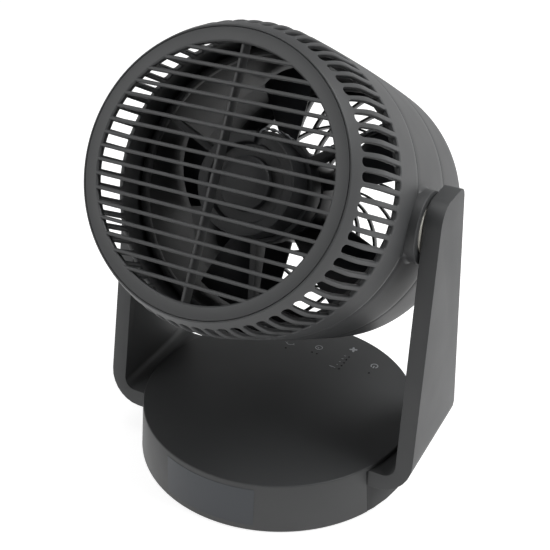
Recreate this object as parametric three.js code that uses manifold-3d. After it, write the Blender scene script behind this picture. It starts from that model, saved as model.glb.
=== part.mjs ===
// Air circulator fan: a drum head with a barred intake and a slotted rim, tilting in a U-shaped
// yoke that rises out of a round base. The base turns on a hidden foot plate.
//
// Millimetres, +Z up. The origin is the middle of the foot's underside. The intake faces -Y, the
// outlet and the touch signs face +Y. Inside the head, "depth" runs along the air's way from the
// intake face (0) to the outlet, and "up" is the intake face's own upward direction.

import * as THREE from 'three';
import { mergeVertices } from 'three/addons/utils/BufferGeometryUtils.js';
import Module from 'manifold-3d';

const wasm = await Module();
wasm.setup();

// ---------------------------------------------------------------- fits

const GAP = 0.3; // between two faces that touch
const RUN = 0.35; // between a turning shaft and its bore
const EMBED = 1; // how far a rib or fin runs into the wall that carries it
const REACH = 5; // how far a cutting shape stands past what it cuts

// ---------------------------------------------------------------- head sizes

const HEAD_LENGTH = 208;
const PIVOT_DEPTH = 104; // tilt axis, from the intake face
const HEAD_TILT = 29.4; // degrees the outlet hangs down in this pose
const BODY_RADIUS = 97.2; // at the widest place
const WIDEST_DEPTH = 150;
const CROWN_RADIUS = 2800; // the drum's side is a very flat arc
const WALL = 2.6;

const SEAT_RADIUS = 84; // opening in the rear casing that takes the intake grille
const LIP_WIDTH = 0.9; // flat edge round that opening
const LEDGE_WIDTH = 3.5;
const LEDGE_THICKNESS = 1.5;
const SHOULDER_KNEE = 19; // depth where the sloping rim would meet the side
const SHOULDER_END = 34; // depth where the rounding has run out
const SHOULDER_STEPS = 3;

const SLOT_COUNT = 68;
const SLOT_WIDTH = 5.5;
const SLOT_LENGTH = 48.5;
const SLOT_LEAD = 2; // from the ledge's back to the slots' front ends
const SLOT_FIRST_ANGLE = 0.8; // degrees from +X
const SLOT_END_STEPS = 2;

const REAR_CASING_END = 88.7;
const SPIGOT_LENGTH = 4.3;
const SPIGOT_THICKNESS = 1.7;
const SPIGOT_RAMP = 8; // length over which a wall thickens towards its spigot

const BARREL_LENGTH = 59;
const BARREL_FACETS = 48;

// ---------------------------------------------------------------- intake grille sizes

const GRILLE_RIM = 8.7; // width of the rim round the bars
const GRILLE_DEPTH = 4.2;
const GRILLE_BEVEL = 0.9;
const GRILLE_FACETS = 48;
const BAR_COUNT = 17;
const BAR_PITCH = 8.34;
const BAR_OFFSET = 1.86; // the row of bars sits a little high in the opening
const BAR_HEIGHT = 2.2;
const BAR_DEPTH = 4;
const BAR_BEVEL = 0.6;
const SPINE_THICKNESS = 2.2; // upright rib that carries the bars from behind
const SPINE_DEPTH = 8.5;

// ---------------------------------------------------------------- duct and motor sizes

const DUCT_START = 80;
const DUCT_WALL = 2;
const DUCT_INSET = 3.4; // from the barrel's bore to the duct
const DUCT_FLARE = 1.5; // bell mouth at the duct's entry
const DUCT_FLARE_LENGTH = 6;
const DUCT_FLANGE = 3;
const DUCT_FACETS = 40;

const MOTOR_RADIUS = 32.3;
const MOTOR_START = 46;
const MOTOR_LENGTH = 40;
const MOTOR_WALL = 2;
const MOTOR_RIM = 6.8; // flat ring round the hollow in the motor's back
const MOTOR_HOLLOW = 4.5; // depth of that hollow
const MOTOR_DOME_RADIUS = 17;
const MOTOR_DOME_RISE = 3.5;
const MOTOR_FACETS = 24;
const LEAD_NOTCH_ANGLE = 86;
const LEAD_NOTCH_WIDTH = 5;
const PLATE_THICKNESS = 2.7;

const SHAFT_RADIUS = 3;
const BEARING_RADIUS = 8;
const BEARING_WIDTH = 5;
const STATOR_WIDTH = 22;
const STATOR_THICKNESS = 11.7;
const AIR_SPACE = 0.6; // between rotor and stator

const BRACKET_HUB_WALL = 2.8;
const BRACKET_HUB_LENGTH = 16;
const BRACKET_RIM_WIDTH = 4.6;
const BRACKET_RIM_DEPTH = 4;
const SPOKE_COUNT = 3;
const SPOKE_FIRST_ANGLE = 38;
const SPOKE_THICKNESS = 4;

const LEAD_RADIUS = 1.1;
const LEAD_STEPS = 22;
const LEAD_SIDES = 8;

// ---------------------------------------------------------------- impeller sizes

const BLADE_COUNT = 5;
const TIP_CLEARANCE = 2.2; // from the blade tips to the duct
const HUB_RADIUS = 31;
const HUB_START = 98; // depth of the hub's open edge
const HUB_LENGTH = 50;
const HUB_NOSE = 11;
const HUB_WALL = 2;
const HUB_CORE_RADIUS = 7;
const HUB_CORE_LENGTH = 29;
const HUB_FACETS = 24;
const SHAFT_SEAT = 12; // how far the shaft goes into the hub's core
const BLADE_THICKNESS = 2.4;
const BLADE_CAMBER = 3.5;
const BLADE_FIRST_ANGLE = 14; // degrees from +X in this pose
const BLADE_ROOT = { start: 101, end: 141, turn: 40, lag: 0 };
const BLADE_TIP = { start: 114, end: 139, turn: 32, lag: 6 };
const BLADE_SPAN_STEPS = 4;
const BLADE_CHORD_STEPS = 5;

// ---------------------------------------------------------------- outlet grille sizes

const OUTLET_RIM = 7.4; // how far the end rounding draws in
const OUTLET_ROUNDING = 15; // length of that rounding
const OUTLET_LIP = 3; // flat edge round the outlet
const OUTLET_FACETS = 48;
const FIN_RIM_WIDTH = 3;
const INNER_FINS = { count: 12, steps: 5 };
const OUTER_FINS = { count: 24, steps: 3 };
const FIN_THICKNESS = 1.5;
const FIN_DEPTH = 7;
const FIN_ANGLE = 45; // degrees between a fin and the radius, the same all along it
const FIN_INSET = 3; // from the outlet's end back to the fins
const CAP_RADIUS = 17;
const CAP_RISE = 2.5;
const MID_RING_SHARE = 0.7; // of the outlet's radius
const MID_RING_THICKNESS = 1.6;

// ---------------------------------------------------------------- pivot and yoke sizes

const PIVOT_HEIGHT = 204;
const BOSS_RADIUS = 23.5;
const BOSS_RISE = 4.6; // over the widest drum
const WASHER_RADIUS = 16.5;
const WASHER_THICKNESS = 1.2;
const WASHER_SEAT = 1.1; // how deep the washer sits in the boss
const ARM_CLEARANCE = 0.9; // from the washer to the arm
const PIN_RADIUS = 7;
const PIN_HEAD_RADIUS = 9.5;
const PIN_HEAD_THICKNESS = 1.6;
const PIN_SEAT = 7.4; // how deep the pin sits in the arm
const PIVOT_FACETS = 24;

const ARM_THICKNESS = 11.6;
const ARM_LEAN = 1.82; // degrees the arms lean in
const ARM_TOP_RISE = 20; // of the arm over the tilt axis
const ARM_FRONT = { foot: -44.5, top: -11 }; // edge of the arm on the intake side
const ARM_BACK = { foot: 45, top: 28.6 };
const ARM_FRONT_ROUNDING = 16;
const ARM_BACK_ROUNDING = 8;
const YOKE_CORNER = 24; // outer rounding between the yoke's floor and its arms
const YOKE_INNER_CORNER = 8.5;
const CORNER_STEPS = 7;

// ---------------------------------------------------------------- base sizes

const BASE_RADIUS = 100;
const BASE_HEIGHT = 39;
const BASE_WALL = 3;
const BASE_TOP = 3;
const BASE_LIFT = 0.8; // from the table to the housing's lower edge
const BASE_FLARE = 2.6; // how much further out the wall stands at its lower edge
const BASE_EDGE = 1.2; // rounding of the top edge
const BASE_CHAMFER = 0.8;
const BASE_FACETS = 48;
const YOKE_PLAY = 0.4; // round the yoke where it passes the housing's wall

const PAD_RADIUS = 7;
const PAD_THICKNESS = 2;
const PAD_COUNT = 4;
const PAD_INSET = 14; // from the foot's edge to a pad's middle
const PAD_FACETS = 16;
const FOOT_LIFT = 1.2;
const FOOT_THICKNESS = 3;
const FOOT_INSET = 5; // from the housing's wall to the foot's edge
const FOOT_FACETS = 40;
const POST_RADIUS = 10;
const POST_FACETS = 24;

const GLIDE_INSET = 10; // from the foot's edge to the glide ring
const GLIDE_WIDTH = 6;
const GLIDE_THICKNESS = 3.7;
const FLOOR_THICKNESS = 2.2;
const COLLAR_WALL = 3.7;
const COLLAR_HEIGHT = 5.3;
const YOKE_POST = { inset: 38, y: 28, radius: 5 };
const WASHER_PLATE_THICKNESS = 1.5;
const SCREW_RADIUS = 2.5;
const SCREW_HEAD_RADIUS = 5.5;
const SCREW_HEAD_HEIGHT = 2.4;
const SCREW_LENGTH = 9;

const GEAR_MODULE = 1.5;
const FIXED_TEETH = 36;
const PINION_TEETH = 12;
const GEAR_THICKNESS = 3.2;
const ADDENDUM = 0.85; // in modules
const DEDENDUM = 1.2;
const BACKLASH = 0.3; // in millimetres, along the pitch circle
const PINION_SHAFT_RADIUS = 3;
const PINION_SHAFT_LENGTH = 8;

const SWING_MOTOR_RADIUS = 24;
const SWING_MOTOR_HEIGHT = 11.6;
const SWING_MOTOR_OFFSET = 8; // from the shaft to the can's middle

const BOARD = { x: 0.5, far: 0.79, clearance: 3, thickness: 1.6 }; // x and far in base radii
const BOARD_BOSS_RADIUS = 3;
const BOARD_BOSS_INSET = 5;
const TOUCH_RADIUS = 4;
const TOUCH_HEIGHT = 1.3;
// In base radii.
const TOUCH_PLACES = { power: [0.48, 0.67], speed: [0.25, 0.74], timer: [0, 0.69], swing: [-0.24, 0.64] };

const GLAND_ANGLE = 135; // degrees from +X, on the side of the base away from the intake
const GLAND_HEIGHT = 19;
const GLAND_RADIUS = 5.5;
const GLAND_FLANGE = 1.5;
const GLAND_LENGTH = 12;
const GLAND_BORE = 1.8;

// ---------------------------------------------------------------- colours and finishes

const CHARCOAL = { color: 0x4b4c4e, roughness: 0.6, metalness: 0 };
const CHARCOAL_DARK = { color: 0x2b2c2e, roughness: 0.65, metalness: 0 };
const BLACK_PLASTIC = { color: 0x1b1c1d, roughness: 0.6, metalness: 0 };
const RUBBER = { color: 0x202122, roughness: 0.9, metalness: 0 };
const STEEL = { color: 0x9a9c9f, roughness: 0.35, metalness: 1 };
const CORE_STEEL = { color: 0x5c5f63, roughness: 0.5, metalness: 1 };
const ACETAL = { color: 0xd9d6cd, roughness: 0.45, metalness: 0 };
const BOARD_GREEN = { color: 0x1d5a3a, roughness: 0.5, metalness: 0 };
const LEAD_JACKET = { color: 0x3a3b3d, roughness: 0.5, metalness: 0 };

// ---------------------------------------------------------------- geometry helpers

const radians = THREE.MathUtils.degToRad;

// Keeps only positions, joins shared corners and drops triangles that have no area.
function weld(geometry) {
  const bare = geometry.clone();
  for (const name of Object.keys(bare.attributes)) {
    if (name !== 'position') bare.deleteAttribute(name);
  }
  const merged = mergeVertices(bare, 1e-4);
  const kept = [];
  const index = merged.index.array;
  for (let i = 0; i < index.length; i += 3) {
    const [a, b, c] = [index[i], index[i + 1], index[i + 2]];
    if (a !== b && b !== c && c !== a) kept.push(a, b, c);
  }
  merged.setIndex(kept);
  return merged;
}

function signedVolume(geometry) {
  const p = geometry.attributes.position;
  const index = geometry.index.array;
  const [a, b, c] = [new THREE.Vector3(), new THREE.Vector3(), new THREE.Vector3()];
  let sum = 0;
  for (let i = 0; i < index.length; i += 3) {
    a.fromBufferAttribute(p, index[i]);
    b.fromBufferAttribute(p, index[i + 1]);
    c.fromBufferAttribute(p, index[i + 2]);
    sum += a.dot(b.cross(c)) / 6;
  }
  return sum;
}

// A closed solid from any closed three.js geometry, with its faces turned outward.
function solid(geometry) {
  const g = weld(geometry);
  if (signedVolume(g) < 0) g.setIndex(Array.from(g.index.array).reverse());
  return new wasm.Manifold(
    new wasm.Mesh({
      numProp: 3,
      vertProperties: new Float32Array(g.attributes.position.array),
      triVerts: new Uint32Array(g.index.array),
    }),
  );
}

function join(parts) {
  return parts.reduce((whole, part) => whole.add(part));
}

function carve(body, tools) {
  return body.subtract(join(tools));
}

function geometryOf(body) {
  const mesh = body.getMesh();
  const g = new THREE.BufferGeometry();
  g.setAttribute('position', new THREE.BufferAttribute(new Float32Array(mesh.vertProperties), 3));
  g.setIndex(new THREE.BufferAttribute(new Uint32Array(mesh.triVerts), 1));
  g.computeVertexNormals();
  return g;
}

function piece(name, body, finish) {
  const mesh = new THREE.Mesh(geometryOf(body), new THREE.MeshStandardMaterial(finish));
  mesh.name = name;
  return mesh;
}

// Turns a profile of [radius, height] points round the Y axis. A ring's profile closes on itself.
function lathe(profile, facets, phase = 0) {
  const points = profile.map(([r, y]) => new THREE.Vector2(r, y));
  const onAxis = profile[0][0] === 0 && profile.at(-1)[0] === 0;
  if (!onAxis) points.push(points[0].clone());
  return new THREE.LatheGeometry(points, facets, phase, 2 * Math.PI);
}

// The same round the Z axis, for the base, and round the X axis, for the tilt pivots.
function uprightLathe(profile, facets) {
  return solid(lathe(profile, facets).rotateX(Math.PI / 2));
}

function pivotLathe(profile, facets) {
  return solid(lathe(profile, facets).rotateZ(-Math.PI / 2));
}

// The same round the head's own axis: profile points are [radius, depth].
function headLathe(profile, facets, phase = 0) {
  return solid(lathe(profile.map(([r, depth]) => [r, depth - PIVOT_DEPTH]), facets, phase));
}

function box(x0, x1, y0, y1, z0, z1) {
  const g = new THREE.BoxGeometry(x1 - x0, y1 - y0, z1 - z0);
  return solid(g.translate((x0 + x1) / 2, (y0 + y1) / 2, (z0 + z1) / 2));
}

function post(x, y, z0, z1, radius, facets = POST_FACETS) {
  const g = new THREE.CylinderGeometry(radius, radius, z1 - z0, facets);
  return solid(g.rotateX(Math.PI / 2).translate(x, y, (z0 + z1) / 2));
}

function extrude(points, length) {
  const shape = new THREE.Shape(points.map(([x, y]) => new THREE.Vector2(x, y)));
  return new THREE.ExtrudeGeometry(shape, { depth: length, bevelEnabled: false });
}

// A [y, z] outline extruded along X, as far to one side as to the other.
function extrudeAcross(points, halfLength) {
  const g = extrude(points, 2 * halfLength).translate(0, 0, -halfLength);
  return solid(g.rotateY(Math.PI / 2).rotateX(Math.PI / 2));
}

// Points of an arc, its two ends included.
function arc(cx, cy, radius, from, to, steps) {
  const points = [];
  for (let i = 0; i <= steps; i += 1) {
    const a = radians(from + ((to - from) * i) / steps);
    points.push([cx + radius * Math.cos(a), cy + radius * Math.sin(a)]);
  }
  return points;
}

// ---------------------------------------------------------------- outline of the head

function bodyRadius(depth) {
  return BODY_RADIUS - (depth - WIDEST_DEPTH) ** 2 / (2 * CROWN_RADIUS);
}

// The rim's rounding, from the lip at the intake to the drum's side.
function shoulder() {
  const side = bodyRadius(SHOULDER_END);
  const curve = new THREE.QuadraticBezierCurve(
    new THREE.Vector2(SEAT_RADIUS + LIP_WIDTH, 0),
    new THREE.Vector2(side, SHOULDER_KNEE),
    new THREE.Vector2(side, SHOULDER_END),
  );
  return curve.getPoints(SHOULDER_STEPS).map((p) => [p.x, p.y]);
}

const ledgeFront = GRILLE_DEPTH + GAP;
const ledgeBack = ledgeFront + LEDGE_THICKNESS;
const slotStart = ledgeBack + SLOT_LEAD;
const barrelStart = REAR_CASING_END + GAP;
const barrelEnd = barrelStart + BARREL_LENGTH;
const outletStart = barrelEnd + GAP;
const barrelBore = bodyRadius(barrelStart) - WALL;
const ductOuter = barrelBore - DUCT_INSET;
const ductInner = ductOuter - DUCT_WALL;
const bossFace = BODY_RADIUS + BOSS_RISE;

// ---------------------------------------------------------------- rear casing

// One long slot: round at the intake end, square at the other, standing in the plane that
// touches the drum and cut straight in.
function slotCutter(angle) {
  const half = SLOT_WIDTH / 2;
  const front = slotStart - PIVOT_DEPTH;
  const nose = arc(front + half, 0, half, 270, 90, SLOT_END_STEPS);
  const outline = [...nose, [front + SLOT_LENGTH, half], [front + SLOT_LENGTH, -half]];
  const inner = SEAT_RADIUS - LEDGE_WIDTH;
  const g = extrude(outline, BODY_RADIUS + REACH - inner);
  g.translate(0, 0, inner); // the outline's first axis is the depth, its second goes round
  g.rotateZ(Math.PI / 2);
  return solid(g.rotateY(angle));
}

function rearCasing() {
  const spigot = barrelBore - GAP;
  const rampStart = REAR_CASING_END - SPIGOT_RAMP;
  const profile = [
    [SEAT_RADIUS, 0],
    ...shoulder(),
    [bodyRadius(REAR_CASING_END), REAR_CASING_END],
    [spigot, REAR_CASING_END],
    [spigot, REAR_CASING_END + SPIGOT_LENGTH],
    [spigot - SPIGOT_THICKNESS, REAR_CASING_END + SPIGOT_LENGTH],
    [bodyRadius(rampStart) - WALL, rampStart],
    [bodyRadius(SHOULDER_END) - WALL, SHOULDER_END],
    [SEAT_RADIUS + LIP_WIDTH, ledgeBack],
    [SEAT_RADIUS - LEDGE_WIDTH, ledgeBack],
    [SEAT_RADIUS - LEDGE_WIDTH, ledgeFront],
    [SEAT_RADIUS, ledgeFront],
  ];
  const pitch = (2 * Math.PI) / SLOT_COUNT;
  const first = radians(90 - SLOT_FIRST_ANGLE);
  const shell = headLathe(profile, SLOT_COUNT, first + pitch / 2);
  const cutters = [];
  for (let i = 0; i < SLOT_COUNT; i += 1) cutters.push(slotCutter(first + i * pitch));
  // The barrel's two bosses reach into the casing's edge.
  return carve(shell, [...cutters, tiltBar(BOSS_RADIUS + GAP, BASE_RADIUS)]);
}

// ---------------------------------------------------------------- intake grille

function grilleBar(up, halfLength) {
  const h = BAR_HEIGHT / 2;
  const b = BAR_BEVEL;
  const face = -PIVOT_DEPTH;
  const section = [
    [face + b, -h],
    [face + BAR_DEPTH, -h],
    [face + BAR_DEPTH, h],
    [face + b, h],
    [face, h - b],
    [face, b - h],
  ];
  return extrudeAcross(section, halfLength).translate([0, 0, up]);
}

function intakeGrille() {
  const outer = SEAT_RADIUS - GAP;
  const inner = SEAT_RADIUS - GRILLE_RIM;
  const rim = headLathe([
    [outer, 0],
    [outer, GRILLE_DEPTH],
    [inner, GRILLE_DEPTH],
    [inner, GRILLE_BEVEL],
    [inner + GRILLE_BEVEL, 0],
  ], GRILLE_FACETS);
  const parts = [rim];
  for (let i = 0; i < BAR_COUNT; i += 1) {
    const up = (i - (BAR_COUNT - 1) / 2) * BAR_PITCH + BAR_OFFSET;
    const edge = Math.abs(up) + BAR_HEIGHT / 2;
    const reach = inner + GRILLE_RIM / 2;
    parts.push(grilleBar(up, Math.sqrt(reach ** 2 - edge ** 2)));
  }
  const t = SPINE_THICKNESS / 2;
  const front = BAR_DEPTH - EMBED - PIVOT_DEPTH;
  const tall = Math.sqrt((SEAT_RADIUS - LEDGE_WIDTH - GAP) ** 2 - t ** 2) - GAP;
  parts.push(box(-t, t, front, front + SPINE_DEPTH, -tall, tall));
  return join(parts);
}

// ---------------------------------------------------------------- barrel and duct

// A bar along the tilt axis, from side to side of the head.
function tiltBar(radius, halfLength) {
  return pivotLathe([[0, -halfLength], [radius, -halfLength], [radius, halfLength], [0, halfLength]],
    PIVOT_FACETS);
}

function barrel() {
  const outside = headLathe([
    [0, barrelStart],
    [bodyRadius(barrelStart), barrelStart],
    [bodyRadius((barrelStart + barrelEnd) / 2), (barrelStart + barrelEnd) / 2],
    [bodyRadius(barrelEnd), barrelEnd],
    [0, barrelEnd],
  ], BARREL_FACETS);
  const bosses = tiltBar(BOSS_RADIUS, bossFace);
  const roomStart = barrelStart - BOSS_RADIUS;
  const room = headLathe([
    [0, roomStart],
    [barrelBore, roomStart],
    [barrelBore, barrelEnd + REACH],
    [0, barrelEnd + REACH],
  ], BARREL_FACETS);
  const seatRadius = WASHER_RADIUS + GAP;
  const seatFloor = bossFace - WASHER_SEAT;
  const seat = pivotLathe([
    [0, seatFloor],
    [seatRadius, seatFloor],
    [seatRadius, bossFace + REACH],
    [0, bossFace + REACH],
  ], PIVOT_FACETS);
  const bore = tiltBar(PIN_RADIUS + RUN, bossFace + REACH);
  return carve(join([outside, bosses]), [room, bore, seat, seat.mirror([1, 0, 0])]);
}

function airDuct() {
  const flange = barrelBore - GAP;
  const end = barrelEnd - SPIGOT_LENGTH;
  return headLathe([
    [ductOuter, DUCT_START],
    [ductOuter, end - DUCT_FLANGE],
    [flange, end - DUCT_FLANGE],
    [flange, end],
    [ductInner, end],
    [ductInner, DUCT_START + DUCT_FLARE_LENGTH],
    [ductInner + DUCT_FLARE, DUCT_START],
  ], DUCT_FACETS);
}

// ---------------------------------------------------------------- outlet grille

// A thin fin along a logarithmic spiral, drawn in the plane across the head's axis.
function fin(turn, inner, outer, steps) {
  const left = [];
  const right = [];
  for (let i = 0; i <= steps; i += 1) {
    const r = inner * (outer / inner) ** (i / steps);
    const a = turn + Math.tan(radians(FIN_ANGLE)) * Math.log(r / inner);
    const half = FIN_THICKNESS / (2 * r * Math.cos(radians(FIN_ANGLE)));
    left.push([r * Math.cos(a + half), r * Math.sin(a + half)]);
    right.push([r * Math.cos(a - half), r * Math.sin(a - half)]);
  }
  const g = extrude([...right, ...left.reverse()], FIN_DEPTH);
  return solid(g.rotateX(-Math.PI / 2).translate(0, finFront - PIVOT_DEPTH, 0));
}

function finZone({ count, steps }, inner, outer) {
  const fins = [];
  for (let i = 0; i < count; i += 1) fins.push(fin((2 * Math.PI * i) / count, inner, outer, steps));
  return join(fins);
}

const outletSide = bodyRadius(HEAD_LENGTH - OUTLET_ROUNDING);
const outletMouth = outletSide - OUTLET_RIM - OUTLET_LIP;
const finBack = HEAD_LENGTH - FIN_INSET;
const finFront = finBack - FIN_DEPTH;

function outletCasing() {
  const end = HEAD_LENGTH;
  const spigot = barrelBore - GAP;
  const rampEnd = outletStart + SPIGOT_RAMP;
  return headLathe([
    [bodyRadius(outletStart), outletStart],
    [outletSide, end - OUTLET_ROUNDING],
    [outletSide - OUTLET_RIM * 0.28, end - OUTLET_ROUNDING * 0.42],
    [outletSide - OUTLET_RIM, end],
    [outletMouth, end],
    [outletMouth, end - WALL],
    [outletSide - WALL, end - OUTLET_ROUNDING - WALL],
    [bodyRadius(rampEnd) - WALL, rampEnd],
    [spigot - SPIGOT_THICKNESS, outletStart - SPIGOT_LENGTH + GAP],
    [spigot, outletStart - SPIGOT_LENGTH + GAP],
    [spigot, outletStart],
  ], OUTLET_FACETS);
}

// Rim, middle ring and cap, joined by the fins.
function outletFins() {
  const outer = outletMouth - GAP;
  const inner = outer - FIN_RIM_WIDTH;
  const rim = headLathe([[inner, finFront], [outer, finFront], [outer, finBack], [inner, finBack]],
    OUTLET_FACETS);
  const cap = headLathe([
    [0, finFront],
    [CAP_RADIUS, finFront],
    [CAP_RADIUS, finBack],
    [CAP_RADIUS * 0.75, finBack + CAP_RISE * 0.8],
    [0, finBack + CAP_RISE],
  ], OUTLET_FACETS / 2);
  const middle = outer * MID_RING_SHARE;
  const half = MID_RING_THICKNESS / 2;
  const midRing = headLathe([
    [middle - half, finFront],
    [middle + half, finFront],
    [middle + half, finBack],
    [middle - half, finBack],
  ], OUTLET_FACETS);
  const innerZone = finZone(INNER_FINS, CAP_RADIUS - EMBED, middle);
  const outerZone = finZone(OUTER_FINS, middle, inner + FIN_RIM_WIDTH / 2);
  return join([rim, cap, midRing, innerZone, outerZone]);
}

// ---------------------------------------------------------------- motor

const motorEnd = MOTOR_START + MOTOR_LENGTH;
const bearingPocket = BEARING_RADIUS + GAP;
const rearPocketStart = MOTOR_START + GAP;
const rearPocketEnd = rearPocketStart + BEARING_WIDTH + 2 * GAP;
const frontPocketStart = motorEnd - BEARING_WIDTH + GAP;

function motorCan() {
  const floor = MOTOR_START + MOTOR_HOLLOW;
  const dome = MOTOR_START - MOTOR_DOME_RISE;
  const can = headLathe([
    [0, dome],
    [MOTOR_DOME_RADIUS * 0.6, dome + MOTOR_DOME_RISE * 0.3],
    [MOTOR_DOME_RADIUS * 0.9, MOTOR_START],
    [MOTOR_DOME_RADIUS, floor],
    [MOTOR_RADIUS - MOTOR_RIM - EMBED, floor],
    [MOTOR_RADIUS - MOTOR_RIM, MOTOR_START],
    [MOTOR_RADIUS, MOTOR_START],
    [MOTOR_RADIUS, motorEnd],
    [MOTOR_RADIUS - MOTOR_WALL, motorEnd],
    [MOTOR_RADIUS - MOTOR_WALL, rearPocketEnd],
    [bearingPocket, rearPocketEnd],
    [bearingPocket, rearPocketStart],
    [0, rearPocketStart],
  ], MOTOR_FACETS);
  const notch = box(
    MOTOR_RADIUS - MOTOR_RIM - EMBED, MOTOR_RADIUS + REACH,
    MOTOR_START - REACH - PIVOT_DEPTH, floor - EMBED - PIVOT_DEPTH,
    -LEAD_NOTCH_WIDTH / 2, LEAD_NOTCH_WIDTH / 2,
  );
  return carve(can, [notch.rotate([0, -LEAD_NOTCH_ANGLE, 0])]);
}

function motorPlate() {
  const seatWall = bearingPocket + MOTOR_WALL;
  return headLathe([
    [MOTOR_RADIUS, motorEnd + GAP],
    [MOTOR_RADIUS, motorEnd + GAP + PLATE_THICKNESS],
    [SHAFT_RADIUS + RUN, motorEnd + GAP + PLATE_THICKNESS],
    [SHAFT_RADIUS + RUN, motorEnd + 2 * GAP],
    [bearingPocket, motorEnd + 2 * GAP],
    [bearingPocket, frontPocketStart],
    [seatWall, frontPocketStart],
    [seatWall, motorEnd + GAP],
  ], MOTOR_FACETS);
}

function ringOnAxis(inner, outer, start, end) {
  return headLathe([[inner, start], [outer, start], [outer, end], [inner, end]], MOTOR_FACETS);
}

const statorOuter = MOTOR_RADIUS - MOTOR_WALL - GAP;
const statorInner = statorOuter - STATOR_THICKNESS;
const statorStart = (rearPocketEnd + frontPocketStart - STATOR_WIDTH) / 2;
const shaftStart = rearPocketStart + GAP;
const shaftSeatEnd = HUB_START + HUB_LENGTH - HUB_WALL - HUB_CORE_LENGTH + SHAFT_SEAT;

function motorShaft() {
  return headLathe([
    [0, shaftStart],
    [SHAFT_RADIUS, shaftStart],
    [SHAFT_RADIUS, shaftSeatEnd - GAP],
    [0, shaftSeatEnd - GAP],
  ], MOTOR_FACETS / 2);
}

// A hub ring round the motor, four flat spokes and a rim that seats on the duct's entry.
function motorBracket() {
  const hubInner = MOTOR_RADIUS + GAP;
  const hubOuter = hubInner + BRACKET_HUB_WALL;
  const rimInner = ductOuter - BRACKET_RIM_WIDTH;
  const rimBack = DUCT_START - GAP;
  const rimFront = rimBack - BRACKET_RIM_DEPTH;
  const hubBack = motorEnd - MOTOR_WALL;
  const hubFront = hubBack - BRACKET_HUB_LENGTH;
  const parts = [
    headLathe([[hubInner, hubFront], [hubOuter, hubFront], [hubOuter, hubBack], [hubInner, hubBack]],
      MOTOR_FACETS),
    headLathe([[rimInner, rimFront], [ductOuter, rimFront], [ductOuter, rimBack], [rimInner, rimBack]],
      DUCT_FACETS),
  ];
  const start = hubInner + BRACKET_HUB_WALL / 2;
  const stop = rimInner + BRACKET_RIM_WIDTH / 2;
  for (let i = 0; i < SPOKE_COUNT; i += 1) {
    const outline = [[start, hubFront], [stop, rimFront], [stop, rimBack], [start, hubBack - EMBED]];
    const g = extrude(outline.map(([r, depth]) => [r, depth - PIVOT_DEPTH]), SPOKE_THICKNESS);
    g.translate(0, 0, -SPOKE_THICKNESS / 2);
    parts.push(solid(g.rotateY(-radians(SPOKE_FIRST_ANGLE + (360 * i) / SPOKE_COUNT))));
  }
  return join(parts);
}

// A point in the head by its polar place: angle from +X towards the face's up, radius, depth.
function polar(angle, radius, depth) {
  const a = radians(angle);
  return new THREE.Vector3(radius * Math.cos(a), depth - PIVOT_DEPTH, radius * Math.sin(a));
}

// The lead leaves the notch in the motor's back, bends down the can's side, and lies along the
// intake side of the first spoke until it passes the bracket's rim.
function motorLead() {
  const side = MOTOR_RADIUS + BRACKET_HUB_WALL + LEAD_RADIUS + 2 * GAP;
  const clear = LEAD_RADIUS + GAP;
  const hubFront = motorEnd - MOTOR_WALL - BRACKET_HUB_LENGTH;
  const rimFront = DUCT_START - GAP - BRACKET_RIM_DEPTH;
  const route = new THREE.CatmullRomCurve3([
    polar(LEAD_NOTCH_ANGLE, MOTOR_RADIUS - MOTOR_RIM / 2, MOTOR_START + LEAD_RADIUS + GAP),
    polar(LEAD_NOTCH_ANGLE - 2, MOTOR_RADIUS + 2, MOTOR_START + LEAD_RADIUS + GAP),
    polar(LEAD_NOTCH_ANGLE - 16, side, MOTOR_START + 6),
    polar(SPOKE_FIRST_ANGLE + 14, side + 2, hubFront - clear - 3),
    polar(SPOKE_FIRST_ANGLE + 3, side + 12, hubFront - clear - 0.5),
    polar(SPOKE_FIRST_ANGLE, side + 26, hubFront + 3 - clear),
    polar(SPOKE_FIRST_ANGLE, ductOuter - BRACKET_RIM_WIDTH, rimFront - clear - 0.4),
  ]);
  const section = new THREE.Shape(
    arc(0, 0, LEAD_RADIUS, 0, 360 - 360 / LEAD_SIDES, LEAD_SIDES - 1).map(([x, y]) => new THREE.Vector2(x, y)),
  );
  return solid(new THREE.ExtrudeGeometry(section, { steps: LEAD_STEPS, extrudePath: route }));
}

// ---------------------------------------------------------------- impeller

function impellerHub() {
  const end = HUB_START + HUB_LENGTH;
  const noseStart = end - HUB_NOSE;
  const coreStart = end - HUB_WALL - HUB_CORE_LENGTH;
  return headLathe([
    [0, end],
    [HUB_RADIUS * 0.5, end - HUB_NOSE * 0.1],
    [HUB_RADIUS * 0.85, end - HUB_NOSE * 0.42],
    [HUB_RADIUS, noseStart],
    [HUB_RADIUS, HUB_START],
    [HUB_RADIUS - HUB_WALL, HUB_START],
    [HUB_RADIUS - HUB_WALL, noseStart],
    [HUB_CORE_RADIUS, end - HUB_NOSE * 0.42],
    [HUB_CORE_RADIUS, coreStart],
    [SHAFT_RADIUS + GAP, coreStart],
    [SHAFT_RADIUS + GAP, shaftSeatEnd],
    [0, shaftSeatEnd],
  ], HUB_FACETS);
}

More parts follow.
